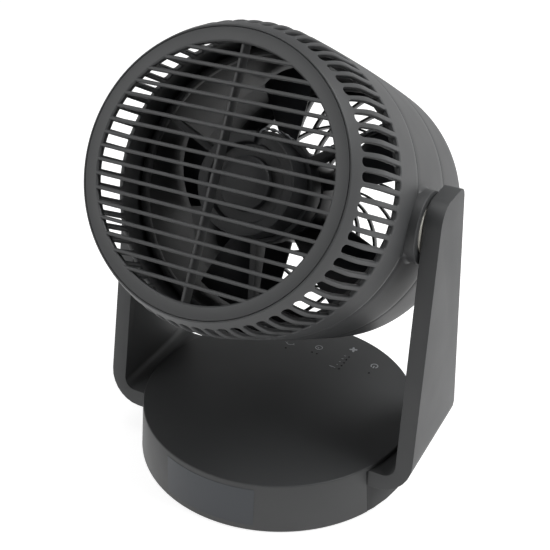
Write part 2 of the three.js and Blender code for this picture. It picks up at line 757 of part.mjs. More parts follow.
// One blade: a grid of points over span and chord, once on the intake side and once on the
// outlet side, joined along all four edges.
function blade(turn) {
  const inner = HUB_RADIUS - HUB_WALL / 2;
  const outer = ductInner - TIP_CLEARANCE;
  const positions = [];
  const index = [];
  const columns = BLADE_CHORD_STEPS + 1;
  const layer = (BLADE_SPAN_STEPS + 1) * columns;
  for (const side of [-1, 1]) {
    for (let i = 0; i <= BLADE_SPAN_STEPS; i += 1) {
      const u = i / BLADE_SPAN_STEPS;
      const mix = (key) => THREE.MathUtils.lerp(BLADE_ROOT[key], BLADE_TIP[key], u);
      for (let j = 0; j < columns; j += 1) {
        const w = j / BLADE_CHORD_STEPS;
        const bow = Math.sin(Math.PI * w);
        const thick = (BLADE_THICKNESS / 2) * (0.35 + 0.65 * bow);
        const angle = turn + radians(mix('lag') + mix('turn') * w);
        const depth = THREE.MathUtils.lerp(mix('start'), mix('end'), w) - BLADE_CAMBER * bow;
        const r = THREE.MathUtils.lerp(inner, outer, u);
        positions.push(r * Math.cos(angle), depth + side * thick - PIVOT_DEPTH, r * Math.sin(angle));
      }
    }
  }
  const quad = (a, b, c, d) => index.push(a, b, c, a, c, d);
  for (let i = 0; i < BLADE_SPAN_STEPS; i += 1) {
    for (let j = 0; j < BLADE_CHORD_STEPS; j += 1) {
      const a = i * columns + j;
      quad(a, a + 1, a + 1 + columns, a + columns);
      quad(layer + a, layer + a + columns, layer + a + 1 + columns, layer + a + 1);
    }
  }
  const last = BLADE_SPAN_STEPS * columns;
  for (let j = 0; j < BLADE_CHORD_STEPS; j += 1) {
    quad(j, layer + j, layer + j + 1, j + 1);
    quad(last + j, last + j + 1, layer + last + j + 1, layer + last + j);
  }
  for (let i = 0; i < BLADE_SPAN_STEPS; i += 1) {
    const a = i * columns;
    const b = a + BLADE_CHORD_STEPS;
    quad(a, a + columns, layer + a + columns, layer + a);
    quad(b, layer + b, layer + b + columns, b + columns);
  }
  const g = new THREE.BufferGeometry();
  g.setAttribute('position', new THREE.Float32BufferAttribute(positions, 3));
  g.setIndex(index);
  return solid(g);
}

function impeller() {
  const parts = [impellerHub()];
  for (let i = 0; i < BLADE_COUNT; i += 1) {
    parts.push(blade(radians(BLADE_FIRST_ANGLE + (360 * i) / BLADE_COUNT)));
  }
  return join(parts);
}

// ---------------------------------------------------------------- yoke and pivots

const washerStart = bossFace - WASHER_SEAT + GAP;
const armInnerAtPivot = washerStart + WASHER_THICKNESS + ARM_CLEARANCE;
const floorTop = BASE_HEIGHT - BASE_TOP - GAP;
const floorBottom = floorTop - ARM_THICKNESS;
const armTop = PIVOT_HEIGHT + ARM_TOP_RISE;

function armInner(z) {
  return armInnerAtPivot + (PIVOT_HEIGHT - z) * Math.tan(radians(ARM_LEAN));
}

// Round corner between the level bottom and a leaning arm, for the inner or the outer side.
function bendPoints(offset, bottom, radius) {
  const lean = ARM_LEAN;
  const middleZ = bottom + radius;
  const middleX = armInner(middleZ) + offset - radius / Math.cos(radians(lean));
  return arc(middleX, middleZ, radius, 270, 360 + lean, CORNER_STEPS);
}

function yoke() {
  const outerBend = bendPoints(ARM_THICKNESS, floorBottom, YOKE_CORNER);
  const innerBend = bendPoints(0, floorTop, YOKE_INNER_CORNER);
  const right = [
    ...outerBend,
    [armInner(armTop + REACH) + ARM_THICKNESS, armTop + REACH],
    [armInner(armTop + REACH), armTop + REACH],
    ...innerBend.reverse(),
  ];
  const outerHalf = right.slice(0, outerBend.length + 1);
  const innerHalf = right.slice(outerBend.length + 1);
  const mirror = (points) => points.map(([x, z]) => [-x, z]).reverse();
  const band = [...outerHalf, ...innerHalf, ...mirror(innerHalf), ...mirror(outerHalf)];
  const width = BASE_RADIUS;
  const ribbon = solid(extrude(band, 2 * width).translate(0, 0, -width).rotateX(Math.PI / 2));

  const side = [
    [ARM_FRONT.foot, floorBottom - REACH],
    [ARM_BACK.foot, floorBottom - REACH],
    [ARM_BACK.foot, floorBottom],
    ...roundedCorner([ARM_BACK.foot, floorBottom], [ARM_BACK.top, armTop], [0, armTop], ARM_BACK_ROUNDING),
    ...roundedCorner([0, armTop], [ARM_FRONT.top, armTop], [ARM_FRONT.foot, floorBottom], ARM_FRONT_ROUNDING),
    [ARM_FRONT.foot, floorBottom],
  ];
  const span = BASE_RADIUS + BODY_RADIUS;
  const outline = extrudeAcross(side, span);
  const pinHole = tiltBar(PIN_RADIUS + GAP, armInnerAtPivot + PIN_SEAT + GAP);
  return carve(ribbon.intersect(outline), [pinHole.translate([0, 0, PIVOT_HEIGHT])]);
}

// Points of a fillet in the corner b of the path a, b, c.
function roundedCorner(a, b, c, radius) {
  const [pa, pb, pc] = [a, b, c].map(([x, y]) => new THREE.Vector2(x, y));
  const u = pa.sub(pb).normalize();
  const v = pc.sub(pb).normalize();
  const half = Math.acos(THREE.MathUtils.clamp(u.dot(v), -1, 1)) / 2;
  const middle = pb.clone().add(u.clone().add(v).normalize().multiplyScalar(radius / Math.sin(half)));
  const along = radius / Math.tan(half);
  const first = pb.clone().addScaledVector(u, along).sub(middle).angle();
  const final = pb.clone().addScaledVector(v, along).sub(middle).angle();
  const turn = THREE.MathUtils.euclideanModulo(final - first + Math.PI, 2 * Math.PI) - Math.PI;
  const points = [];
  for (let i = 0; i <= CORNER_STEPS; i += 1) {
    const angle = first + (turn * i) / CORNER_STEPS;
    points.push([middle.x + radius * Math.cos(angle), middle.y + radius * Math.sin(angle)]);
  }
  return points;
}

function pivotPin() {
  const headEnd = Math.sqrt(barrelBore ** 2 - PIN_HEAD_RADIUS ** 2) - 2 * GAP;
  const inner = headEnd - PIN_HEAD_THICKNESS;
  const end = armInnerAtPivot + PIN_SEAT;
  return pivotLathe([
    [0, inner],
    [PIN_HEAD_RADIUS, inner],
    [PIN_HEAD_RADIUS, headEnd],
    [PIN_RADIUS, headEnd],
    [PIN_RADIUS, end],
    [0, end],
  ], PIVOT_FACETS);
}

function frictionWasher() {
  const inner = PIN_RADIUS + RUN;
  const far = washerStart + WASHER_THICKNESS;
  return pivotLathe([
    [inner, washerStart],
    [WASHER_RADIUS, washerStart],
    [WASHER_RADIUS, far],
    [inner, far],
  ], PIVOT_FACETS);
}

// ---------------------------------------------------------------- base

const footTop = FOOT_LIFT + FOOT_THICKNESS;
const floorPlateBottom = footTop + 2 * GAP + GLIDE_THICKNESS;
const floorPlateTop = floorPlateBottom + FLOOR_THICKNESS;
const collarTop = floorPlateTop + COLLAR_HEIGHT;
const baseInside = BASE_RADIUS - BASE_WALL;
const footRadius = baseInside - FOOT_INSET;
const glideRadius = footRadius - GLIDE_INSET;
const boardNear = ARM_BACK.foot + BOARD.clearance;
const boardFar = BOARD.far * BASE_RADIUS;
const boardSide = BOARD.x * BASE_RADIUS;
const ceiling = BASE_HEIGHT - BASE_TOP;
const gearCentre = (GEAR_MODULE * (FIXED_TEETH + PINION_TEETH)) / 2;

// How much further out than at its top edge the base's wall stands at a height.
function wallFlare(z) {
  return (BASE_FLARE * (BASE_HEIGHT - z)) / (BASE_HEIGHT - BASE_LIFT);
}

// The space between the two notches in the base's wall, wider than the yoke by a play.
function yokeGate(play, low, high) {
  const span = BASE_RADIUS + REACH;
  return box(-span, span, ARM_FRONT.foot - play, ARM_BACK.foot + play, low, high);
}

function baseHousing() {
  const shell = uprightLathe([
    [0, BASE_HEIGHT],
    [BASE_RADIUS - BASE_EDGE, BASE_HEIGHT],
    [BASE_RADIUS - BASE_EDGE * 0.3, BASE_HEIGHT - BASE_EDGE * 0.3],
    [BASE_RADIUS, BASE_HEIGHT - BASE_EDGE],
    [BASE_RADIUS + BASE_FLARE, BASE_LIFT + BASE_CHAMFER],
    [BASE_RADIUS + BASE_FLARE - BASE_CHAMFER, BASE_LIFT],
    [baseInside + BASE_FLARE, BASE_LIFT],
    [baseInside, ceiling],
    [0, ceiling],
  ], BASE_FACETS);
  const bosses = [];
  for (const x of [-1, 1]) {
    for (const y of [boardNear + BOARD_BOSS_INSET, boardFar - BOARD_BOSS_INSET]) {
      const bossX = x * (boardSide - BOARD_BOSS_INSET);
      bosses.push(post(bossX, y, ceiling - TOUCH_HEIGHT - GAP, ceiling + EMBED, BOARD_BOSS_RADIUS, PAD_FACETS / 2));
    }
  }
  const gate = yokeGate(YOKE_PLAY, BASE_LIFT - REACH, ceiling);
  return carve(join([shell, ...bosses]), [gate, glandShape(GLAND_RADIUS + GAP, baseInside - REACH)]);
}

// A bar along the gland's direction, from a radius outward past the wall.
function glandShape(radius, from, to = BASE_RADIUS + REACH) {
  const g = new THREE.CylinderGeometry(radius, radius, to - from, PAD_FACETS);
  g.rotateZ(-Math.PI / 2).translate((from + to) / 2, 0, GLAND_HEIGHT);
  return solid(g.rotateZ(radians(GLAND_ANGLE)));
}

function cordGland() {
  const flangeRadius = GLAND_RADIUS + GLAND_FLANGE;
  const end = BASE_RADIUS + wallFlare(GLAND_HEIGHT + GLAND_RADIUS) - GAP;
  const flangeEnd = baseInside + wallFlare(GLAND_HEIGHT + flangeRadius) - GAP - GLAND_FLANGE;
  const back = end + GLAND_FLANGE - GLAND_LENGTH;
  const flange = glandShape(flangeRadius, flangeEnd - GLAND_FLANGE, flangeEnd);
  const body = glandShape(GLAND_RADIUS, back, end);
  return carve(join([body, flange]), [glandShape(GLAND_BORE, back - REACH)]);
}

function baseFloor() {
  const bore = POST_RADIUS + RUN;
  const rim = baseInside + wallFlare(floorPlateTop) - GAP;
  const plate = uprightLathe([
    [bore, floorPlateBottom],
    [rim, floorPlateBottom],
    [rim, floorPlateTop],
    [bore + COLLAR_WALL, floorPlateTop],
    [bore + COLLAR_WALL, collarTop],
    [bore, collarTop],
  ], BASE_FACETS);
  const posts = [];
  const postX = BASE_RADIUS - YOKE_POST.inset;
  for (const x of [-postX, postX]) {
    for (const y of [-YOKE_POST.y, YOKE_POST.y]) {
      posts.push(post(x, y, floorPlateTop - EMBED, floorBottom - GAP, YOKE_POST.radius, PAD_FACETS / 2));
    }
  }
  // Under the yoke's floor a strip of wall fills the rest of each notch.
  const wallTop = floorBottom - GAP;
  const wall = uprightLathe([
    [baseInside + BASE_FLARE - EMBED, BASE_LIFT],
    [BASE_RADIUS + BASE_FLARE - BASE_CHAMFER, BASE_LIFT],
    [BASE_RADIUS + BASE_FLARE, BASE_LIFT + BASE_CHAMFER],
    [BASE_RADIUS + wallFlare(wallTop), wallTop],
    [baseInside + wallFlare(wallTop) - EMBED, wallTop],
  ], BASE_FACETS).intersect(yokeGate(YOKE_PLAY - GAP, 0, floorBottom));
  const shaftHole = post(0, -gearCentre, floorPlateBottom - REACH, floorPlateTop + REACH,
    PINION_SHAFT_RADIUS + RUN, PAD_FACETS);
  return carve(join([plate, wall, ...posts]), [shaftHole]);
}

function footPlate() {
  const plate = uprightLathe([
    [0, FOOT_LIFT],
    [footRadius, FOOT_LIFT],
    [footRadius, footTop],
    [POST_RADIUS, footTop],
    [POST_RADIUS, collarTop + GAP],
    [0, collarTop + GAP],
  ], FOOT_FACETS);
  const recessTop = PAD_THICKNESS + GAP;
  const tools = padPlaces().map(([x, y]) => post(x, y, FOOT_LIFT - REACH, recessTop, PAD_RADIUS + GAP, PAD_FACETS));
  const screwEnd = collarTop + 2 * GAP - SCREW_LENGTH;
  tools.push(post(0, 0, screwEnd - GAP, collarTop + REACH, SCREW_RADIUS + GAP, PAD_FACETS));
  return carve(plate, tools);
}

// The middle pad covers the foot's centre, the others stand on a circle.
function padPlaces() {
  const places = [[0, 0]];
  for (let i = 0; i < PAD_COUNT; i += 1) {
    const a = radians(45 + (360 * i) / PAD_COUNT);
    places.push([(footRadius - PAD_INSET) * Math.cos(a), (footRadius - PAD_INSET) * Math.sin(a)]);
  }
  return places;
}

function footPad(x, y) {
  return post(x, y, 0, PAD_THICKNESS, PAD_RADIUS, PAD_FACETS);
}

function glideRing() {
  const low = footTop + GAP;
  const high = low + GLIDE_THICKNESS;
  const inner = glideRadius - GLIDE_WIDTH;
  return uprightLathe([[inner, low], [glideRadius, low], [glideRadius, high], [inner, high]], FOOT_FACETS);
}

function swingWasher() {
  const low = collarTop + 2 * GAP;
  const high = low + WASHER_PLATE_THICKNESS;
  const outer = POST_RADIUS + RUN + COLLAR_WALL;
  const inner = SCREW_RADIUS + GAP;
  return uprightLathe([[inner, low], [outer, low], [outer, high], [inner, high]], POST_FACETS);
}

function swingScrew() {
  const seat = collarTop + 3 * GAP + WASHER_PLATE_THICKNESS;
  return uprightLathe([
    [0, seat - SCREW_LENGTH],
    [SCREW_RADIUS, seat - SCREW_LENGTH],
    [SCREW_RADIUS, seat],
    [SCREW_HEAD_RADIUS, seat],
    [SCREW_HEAD_RADIUS, seat + SCREW_HEAD_HEIGHT / 2],
    [SCREW_HEAD_RADIUS * 0.6, seat + SCREW_HEAD_HEIGHT],
    [0, seat + SCREW_HEAD_HEIGHT],
  ], PAD_FACETS);
}

// Outline of a spur gear with straight flanks. The first tooth points along +X.
function gearOutline(teeth) {
  const pitch = (GEAR_MODULE * teeth) / 2;
  const tip = pitch + ADDENDUM * GEAR_MODULE;
  const root = pitch - DEDENDUM * GEAR_MODULE;
  const halfPitch = (Math.PI * GEAR_MODULE) / 4 - BACKLASH / 2;
  const slope = Math.tan(radians(20));
  const points = [];
  for (let i = 0; i < teeth; i += 1) {
    const a = (2 * Math.PI * i) / teeth;
    const tipHalf = (halfPitch - ADDENDUM * GEAR_MODULE * slope) / tip;
    const rootHalf = (halfPitch + DEDENDUM * GEAR_MODULE * slope * 0.6) / root;
    for (const [r, offset] of [[root, -rootHalf], [tip, -tipHalf], [tip, tipHalf], [root, rootHalf]]) {
      points.push([r * Math.cos(a + offset), r * Math.sin(a + offset)]);
    }
  }
  return points;
}

function gearBlank(teeth, turn, x, y) {
  const g = extrude(gearOutline(teeth), GEAR_THICKNESS);
  return solid(g.rotateZ(turn).translate(x, y, footTop + GAP));
}

function fixedGear() {
  const gear = gearBlank(FIXED_TEETH, -Math.PI / 2, 0, 0);
  return carve(gear, [post(0, 0, 0, floorPlateBottom, POST_RADIUS + GAP)]);
}

// A gap of the pinion faces the fixed gear's tooth on the line between their centres.
function swingPinion() {
  const gear = gearBlank(PINION_TEETH, Math.PI / 2 + Math.PI / PINION_TEETH, 0, -gearCentre);
  const low = footTop + GAP + EMBED;
  return join([gear, post(0, -gearCentre, low, low + PINION_SHAFT_LENGTH, PINION_SHAFT_RADIUS, PAD_FACETS)]);
}

function swingMotor() {
  const low = floorPlateTop + GAP;
  const middle = -gearCentre - SWING_MOTOR_OFFSET;
  const can = post(0, middle, low, low + SWING_MOTOR_HEIGHT, SWING_MOTOR_RADIUS);
  const shaftEnd = footTop + GAP + EMBED + PINION_SHAFT_LENGTH;
  const hole = post(0, -gearCentre, low - REACH, shaftEnd + GAP, PINION_SHAFT_RADIUS + RUN, PAD_FACETS);
  return carve(can, [hole]);
}

function controlBoard() {
  const top = ceiling - TOUCH_HEIGHT - 2 * GAP;
  return box(-boardSide, boardSide, boardNear, boardFar, top - BOARD.thickness, top);
}

function touchPad(place) {
  const [x, y] = place.map((share) => share * BASE_RADIUS);
  return post(x, y, ceiling - TOUCH_HEIGHT - GAP, ceiling - GAP, TOUCH_RADIUS, PAD_FACETS / 2);
}

// ---------------------------------------------------------------- assembly

const fan = new THREE.Group();

fan.add(piece('foot_plate', footPlate(), BLACK_PLASTIC));
padPlaces().forEach(([x, y], i) => fan.add(piece(`foot_pad_${i}`, footPad(x, y), RUBBER)));
fan.add(piece('glide_ring', glideRing(), ACETAL));
fan.add(piece('fixed_gear', fixedGear(), ACETAL));
fan.add(piece('swing_washer', swingWasher(), STEEL));
fan.add(piece('swing_screw', swingScrew(), STEEL));

fan.add(piece('base_housing', baseHousing(), CHARCOAL));
fan.add(piece('base_floor', baseFloor(), BLACK_PLASTIC));
fan.add(piece('yoke', yoke(), CHARCOAL));
fan.add(piece('control_board', controlBoard(), BOARD_GREEN));
for (const [name, place] of Object.entries(TOUCH_PLACES)) {
  fan.add(piece(`touch_pad_${name}`, touchPad(place), RUBBER));
}
fan.add(piece('cord_gland', cordGland(), RUBBER));
fan.add(piece('swing_motor', swingMotor(), STEEL));
fan.add(piece('swing_pinion', swingPinion(), ACETAL));

const head = new THREE.Group();
head.position.z = PIVOT_HEIGHT;

for (const [name, turn] of [['right', 0], ['left', Math.PI]]) {
  const pin = piece(`pivot_pin_${name}`, pivotPin(), STEEL);
  pin.position.z = PIVOT_HEIGHT;
  pin.rotation.z = turn;
  fan.add(pin);
  const washer = piece(`friction_washer_${name}`, frictionWasher(), ACETAL);
  washer.rotation.z = turn;
  head.add(washer);
}

head.rotation.x = -radians(HEAD_TILT);
head.add(piece('intake_grille', intakeGrille(), CHARCOAL));
head.add(piece('rear_casing', rearCasing(), CHARCOAL));
head.add(piece('barrel', barrel(), CHARCOAL));
head.add(piece('outlet_casing', outletCasing(), CHARCOAL));
head.add(piece('outlet_fins', outletFins(), CHARCOAL));
head.add(piece('air_duct', airDuct(), CHARCOAL_DARK));
head.add(piece('motor_bracket', motorBracket(), BLACK_PLASTIC));
head.add(piece('motor_can', motorCan(), BLACK_PLASTIC));
head.add(piece('motor_plate', motorPlate(), BLACK_PLASTIC));
head.add(piece('stator', ringOnAxis(statorInner, statorOuter, statorStart, statorStart + STATOR_WIDTH), CORE_STEEL));
head.add(piece('rotor',
  ringOnAxis(SHAFT_RADIUS + GAP, statorInner - AIR_SPACE, statorStart, statorStart + STATOR_WIDTH), CORE_STEEL));
head.add(piece('rear_bearing',
  ringOnAxis(SHAFT_RADIUS + RUN, BEARING_RADIUS, shaftStart, shaftStart + BEARING_WIDTH), STEEL));
head.add(piece('front_bearing',
  ringOnAxis(SHAFT_RADIUS + RUN, BEARING_RADIUS, frontPocketStart + GAP, frontPocketStart + GAP + BEARING_WIDTH - GAP),
  STEEL));
head.add(piece('motor_shaft', motorShaft(), STEEL));
head.add(piece('motor_lead', motorLead(), LEAD_JACKET));
head.add(piece('impeller', impeller(), BLACK_PLASTIC));
fan.add(head);

export default fan;
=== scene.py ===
# %% [markdown]
# # A drum-shaped air circulator, dressed for a picture
#
# The solids come from a CAD model in one shared frame: +Z up, metres, the foot's middle at the
# origin. The CAD solids are true in size but have few facets and hard edges. Each section below
# takes one visible piece, rebuilds it with the roundings that a moulding tool leaves, and gives
# it a finish. Everything rides on the CAD body it belongs to, so the joints still move it.

# %% Load the frame
import math

import bmesh
import bpy
from mathutils import Matrix, Vector


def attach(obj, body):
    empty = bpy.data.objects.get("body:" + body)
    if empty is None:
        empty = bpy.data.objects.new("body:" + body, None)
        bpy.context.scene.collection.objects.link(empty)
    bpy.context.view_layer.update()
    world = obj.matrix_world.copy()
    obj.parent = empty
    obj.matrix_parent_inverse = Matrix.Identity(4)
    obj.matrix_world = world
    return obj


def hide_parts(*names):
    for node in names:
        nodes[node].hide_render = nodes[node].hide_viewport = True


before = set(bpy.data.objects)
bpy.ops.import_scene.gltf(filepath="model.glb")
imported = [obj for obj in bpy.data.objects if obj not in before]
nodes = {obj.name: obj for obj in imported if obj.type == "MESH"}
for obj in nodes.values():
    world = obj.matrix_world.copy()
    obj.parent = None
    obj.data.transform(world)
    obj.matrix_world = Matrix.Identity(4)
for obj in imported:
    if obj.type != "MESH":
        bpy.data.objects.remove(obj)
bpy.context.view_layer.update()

# %% [markdown]
# ## Working in millimetres and in the head's own frame
#
# A product like this is drawn in millimetres, so every size below is one and a single factor
# turns it into metres. The head is a body of revolution round its own axis, and it hangs at an
# angle between the yoke's arms. It is easier to draw it upright: "depth" runs from the intake
# face to the outlet, "up" is the face's own upward direction. One matrix then tilts it.

# %% Units, frames and mesh helpers
MM = 0.001
TILT = math.radians(29.4)
PIVOT_HEIGHT = 204.0
PIVOT_DEPTH = 104.0
MILLIMETRES = Matrix.Scale(MM, 4)
HEAD = (
    Matrix.Translation((0, 0, PIVOT_HEIGHT * MM))
    @ Matrix.Rotation(-TILT, 4, "X")
    @ Matrix.Translation((0, -PIVOT_DEPTH * MM, 0))
    @ MILLIMETRES
)
MOST_CORNERS = 30  # a flat face with more is a ring, which one polygon draws wrongly


def make(name, verts, faces, place, sharp=35):
    """A mesh object from millimetre points, put in place, smooth but for its sharp edges."""
    mesh = bpy.data.meshes.new(name)
    mesh.from_pydata([tuple(v) for v in verts], [], faces)
    mesh.transform(place)
    mesh.validate()
    bm = bmesh.new()
    bm.from_mesh(mesh)
    bmesh.ops.remove_doubles(bm, verts=bm.verts, dist=0.002 * MM)
    bmesh.ops.recalc_face_normals(bm, faces=bm.faces)
    bm.to_mesh(mesh)
    bm.free()
    mesh.shade_smooth()
    mesh.set_sharp_from_angle(angle=math.radians(sharp))
    obj = bpy.data.objects.new(name, mesh)
    bpy.context.scene.collection.objects.link(obj)
    return obj


def dress(obj, body, material, stands_for=()):
    """Finish, CAD body and the CAD nodes that this piece stands for."""
    obj.data.materials.clear()
    obj.data.materials.append(material)
    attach(obj, body)
    if stands_for:
        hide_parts(*stands_for)
    return obj


def round_corners(profile, radius, closed=True, steps=3):
    """Puts an arc in every corner of a profile, as far as its sides allow."""
    out = []
    n = len(profile)
    for i, here in enumerate(profile):
        if not closed and i in (0, n - 1):
            out.append(tuple(here))
            continue
        p, a, b = Vector(here), Vector(profile[i - 1]), Vector(profile[(i + 1) % n])
        u, v = (a - p), (b - p)
        if u.length < 1e-9 or v.length < 1e-9:
            out.append(tuple(here))
            continue
        bend = u.angle(v)
        if bend > math.radians(158):
            out.append(tuple(here))
            continue
        cut = min(radius / math.tan(bend / 2), u.length * 0.45, v.length * 0.45)
        r = cut * math.tan(bend / 2)
        u.normalize()
        v.normalize()
        middle = p + (u + v).normalized() * (r / math.sin(bend / 2))
        first, last = p + u * cut - middle, p + v * cut - middle
        turn = first.angle_signed(last)
        for k in range(steps + 1):
            angle = -turn * k / steps
            c, s = math.cos(angle), math.sin(angle)
            out.append((middle.x + c * first.x - s * first.y, middle.y + s * first.x + c * first.y))
    return out


def turned(profile, facets, axis="Y", closed=True):
    """Verts and faces of a profile of (radius, height) turned round an axis."""
    places = {
        "Y": lambda r, h, c, s: (r * c, h, r * s),
        "Z": lambda r, h, c, s: (r * c, r * s, h),
        "X": lambda r, h, c, s: (h, r * c, r * s),
    }
    n = len(profile)
    verts = []
    for k in range(facets):
        a = 2 * math.pi * k / facets
        verts += [places[axis](r, h, math.cos(a), math.sin(a)) for r, h in profile]
    faces = []
    for k in range(facets):
        here, there = k * n, (k + 1) % facets * n
        for i in range(n if closed else n - 1):
            j = (i + 1) % n
            faces.append((here + i, here + j, there + j, there + i))
    return verts, faces


def lathe(name, profile, facets, place, axis="Y", rounding=0.4, closed=True, sharp=35):
    rounded = round_corners(profile, rounding, closed)
    return make(name, *turned(rounded, facets, axis, closed), place, sharp)


def merged(shapes):
    """Several (verts, faces) as one."""
    verts, faces = [], []
    for v, f in shapes:
        base = len(verts)
        verts += list(v)
        faces += [tuple(base + i for i in face) for face in f]
    return verts, faces


def prism(outline, low, high, axis="Z"):
    """Verts and faces of an outline carried from low to high along an axis."""
    places = {
        "Z": lambda a, b, h: (a, b, h),
        "Y": lambda a, b, h: (a, h, b),
        "X": lambda a, b, h: (h, a, b),
    }
    n = len(outline)
    verts = [places[axis](a, b, h) for h in (low, high) for a, b in outline]
    faces = [tuple(range(n)), tuple(range(n, 2 * n))]
    faces += [(i, (i + 1) % n, n + (i + 1) % n, n + i) for i in range(n)]
    return verts, faces


def cut(obj, verts, faces, place=MILLIMETRES):
    """Cuts a solid out of an object and keeps the result as its mesh."""
    tool = make("tool", verts, faces, place)
    step = obj.modifiers.new("cut", "BOOLEAN")
    step.object = tool
    step.operation = "DIFFERENCE"
    step.solver = "EXACT"
    bpy.context.view_layer.update()
    result = bpy.data.meshes.new_from_object(obj.evaluated_get(bpy.context.evaluated_depsgraph_get()))
    obj.modifiers.clear()
    obj.data = result
    bpy.data.objects.remove(tool)
    return obj


def box(x0, x1, y0, y1, z0, z1):
    return prism([(x0, y0), (x1, y0), (x1, y1), (x0, y1)], z0, z1)


def copy_of(node, bevel, segments=2, flat=1.0, sharp=30):
    """A CAD node's own mesh with its flat faces cleaned and its edges rounded."""
    obj = bpy.data.objects.new(node + "_skin", nodes[node].data.copy())
    bpy.context.scene.collection.objects.link(obj)
    bm = bmesh.new()
    bm.from_mesh(obj.data)
    bmesh.ops.remove_doubles(bm, verts=bm.verts, dist=0.005 * MM)
    bmesh.ops.dissolve_limit(
        bm, angle_limit=math.radians(flat), verts=bm.verts, edges=bm.edges, delimit=set()
    )
    bmesh.ops.triangulate(bm, faces=[f for f in bm.faces if len(f.verts) > MOST_CORNERS])
    bm.to_mesh(obj.data)
    bm.free()
    obj.data.shade_smooth()
    if bevel:
        edge = obj.modifiers.new("edge_rounding", "BEVEL")
        edge.width = bevel * MM
        edge.segments = segments
        edge.limit_method = "ANGLE"
        edge.angle_limit = math.radians(sharp)
        edge.harden_normals = True
        edge.miter_outer = "MITER_ARC"
    else:
        obj.data.set_sharp_from_angle(angle=math.radians(sharp))
    return obj


print("head matrix:", [[round(x, 5) for x in row] for row in HEAD])

# %% [markdown]
# ## Finishes
#
# Nearly everything one sees is charcoal ABS from a spark-eroded tool. That finish isn't a
# picture on the surface: it is a relief of about a tenth of a millimetre, so it is a bump, and a
# slow drift of roughness where the plastic filled the tool differently. The recipe is one
# function, because housings, duct and motor parts differ only in colour and in how coarse the
# tool was. The refractive index of ABS is about 1.54, of acetal 1.48, of rubber 1.52.

# %% Node recipe for moulded plastic
def srgb(hex_colour):
    """Linear colour, with alpha, of an sRGB value written as six hex digits."""
    out = []
    for i in (0, 2, 4):
        c = int(hex_colour[i : i + 2], 16) / 255
        out.append(c / 12.92 if c <= 0.04045 else ((c + 0.055) / 1.055) ** 2.4)
    return (*out, 1.0)


def add(tree, kind, links=(), **settings):
    """Adds a node. settings are its properties or inputs, links are (input, output socket)."""
    node = tree.nodes.new(kind)
    for key, value in settings.items():
        if key in node.inputs:
            node.inputs[key].default_value = value
        else:
            setattr(node, key, value)
    for name, socket in links:
        tree.links.new(socket, node.inputs[name])
    return node


def new_material(name, colour, roughness, metallic=0.0, ior=1.5):
    material = bpy.data.materials.new(name)
    material.use_nodes = True
    tree = material.node_tree
    shader = tree.nodes["Principled BSDF"]
    shader.inputs["Base Color"].default_value = srgb(colour)
    shader.inputs["Roughness"].default_value = roughness
    shader.inputs["Metallic"].default_value = metallic
    shader.inputs["IOR"].default_value = ior
    material.diffuse_color = srgb(colour)
    return material, tree, shader


def moulded(name, colour, roughness, grain, relief, ior=1.54, drift=0.06):
    """Injection-moulded plastic. grain is the size of the tool's texture, relief its height."""
    material, tree, shader = new_material(name, colour, roughness, ior=ior)
    place = add(tree, "ShaderNodeTexCoord")
    fine = add(tree, "ShaderNodeTexNoise", [("Vector", place.outputs["Object"])],
               Scale=1 / (grain * MM), Detail=3.0, Roughness=0.6)
    slow = add(tree, "ShaderNodeTexNoise", [("Vector", place.outputs["Object"])],
               Scale=1 / (35 * MM), Detail=2.0)
    spread = add(tree, "ShaderNodeMapRange", [("Value", slow.outputs["Fac"])])
    spread.inputs["To Min"].default_value = roughness - drift
    spread.inputs["To Max"].default_value = roughness + drift
    tree.links.new(spread.outputs["Result"], shader.inputs["Roughness"])
    bump = add(tree, "ShaderNodeBump", [("Height", fine.outputs["Fac"])],
               Strength=0.6, Distance=relief * MM)
    tree.links.new(bump.outputs["Normal"], shader.inputs["Normal"])
    return material


ABS_HOUSING = moulded("abs_charcoal_fine_texture", "3b3c3d", 0.52, 0.45, 0.03)
ABS_GRILLE = moulded("abs_charcoal_smooth", "3e3f40", 0.46, 0.5, 0.015)
ABS_DUCT = moulded("abs_dark_matt", "161718", 0.62, 0.6, 0.03)
NYLON_BLACK = moulded("glass_filled_nylon_black", "17181a", 0.58, 0.9, 0.04, ior=1.53)
ABS_BLADE = moulded("as_resin_grey_blades", "26272a", 0.38, 0.8, 0.01, ior=1.57)
ACETAL = moulded("acetal_natural", "d9d6cd", 0.42, 0.8, 0.01, ior=1.48)
RUBBER = moulded("rubber_moulded_black", "202122", 0.85, 0.3, 0.03, ior=1.52, drift=0.03)
print("plastics:", [m.name for m in bpy.data.materials])

# %% [markdown]
# ## Metals and small materials
#
# Turned steel keeps faint rings from the tool, so its roughness comes from a wave texture with a
# pitch of a few tenths of a millimetre. Core steel is a stack of half-millimetre sheets, and the
# bands show on its outside. The circuit board is green lacquer over copper. Sign ink and the
# light windows are thin and pale.

# %% Metals, board, ink
def banded_metal(name, colour, roughness, pitch, direction, contrast):
    material, tree, shader = new_material(name, colour, roughness, metallic=1.0)
    place = add(tree, "ShaderNodeTexCoord")
    bands = add(tree, "ShaderNodeTexWave", [("Vector", place.outputs["Object"])],
                bands_direction=direction, Scale=0.314 / (pitch * MM), Distortion=0.4)
    spread = add(tree, "ShaderNodeMapRange", [("Value", bands.outputs["Fac"])])
    spread.inputs["To Min"].default_value = roughness - contrast
    spread.inputs["To Max"].default_value = roughness + contrast
    tree.links.new(spread.outputs["Result"], shader.inputs["Roughness"])
    return material


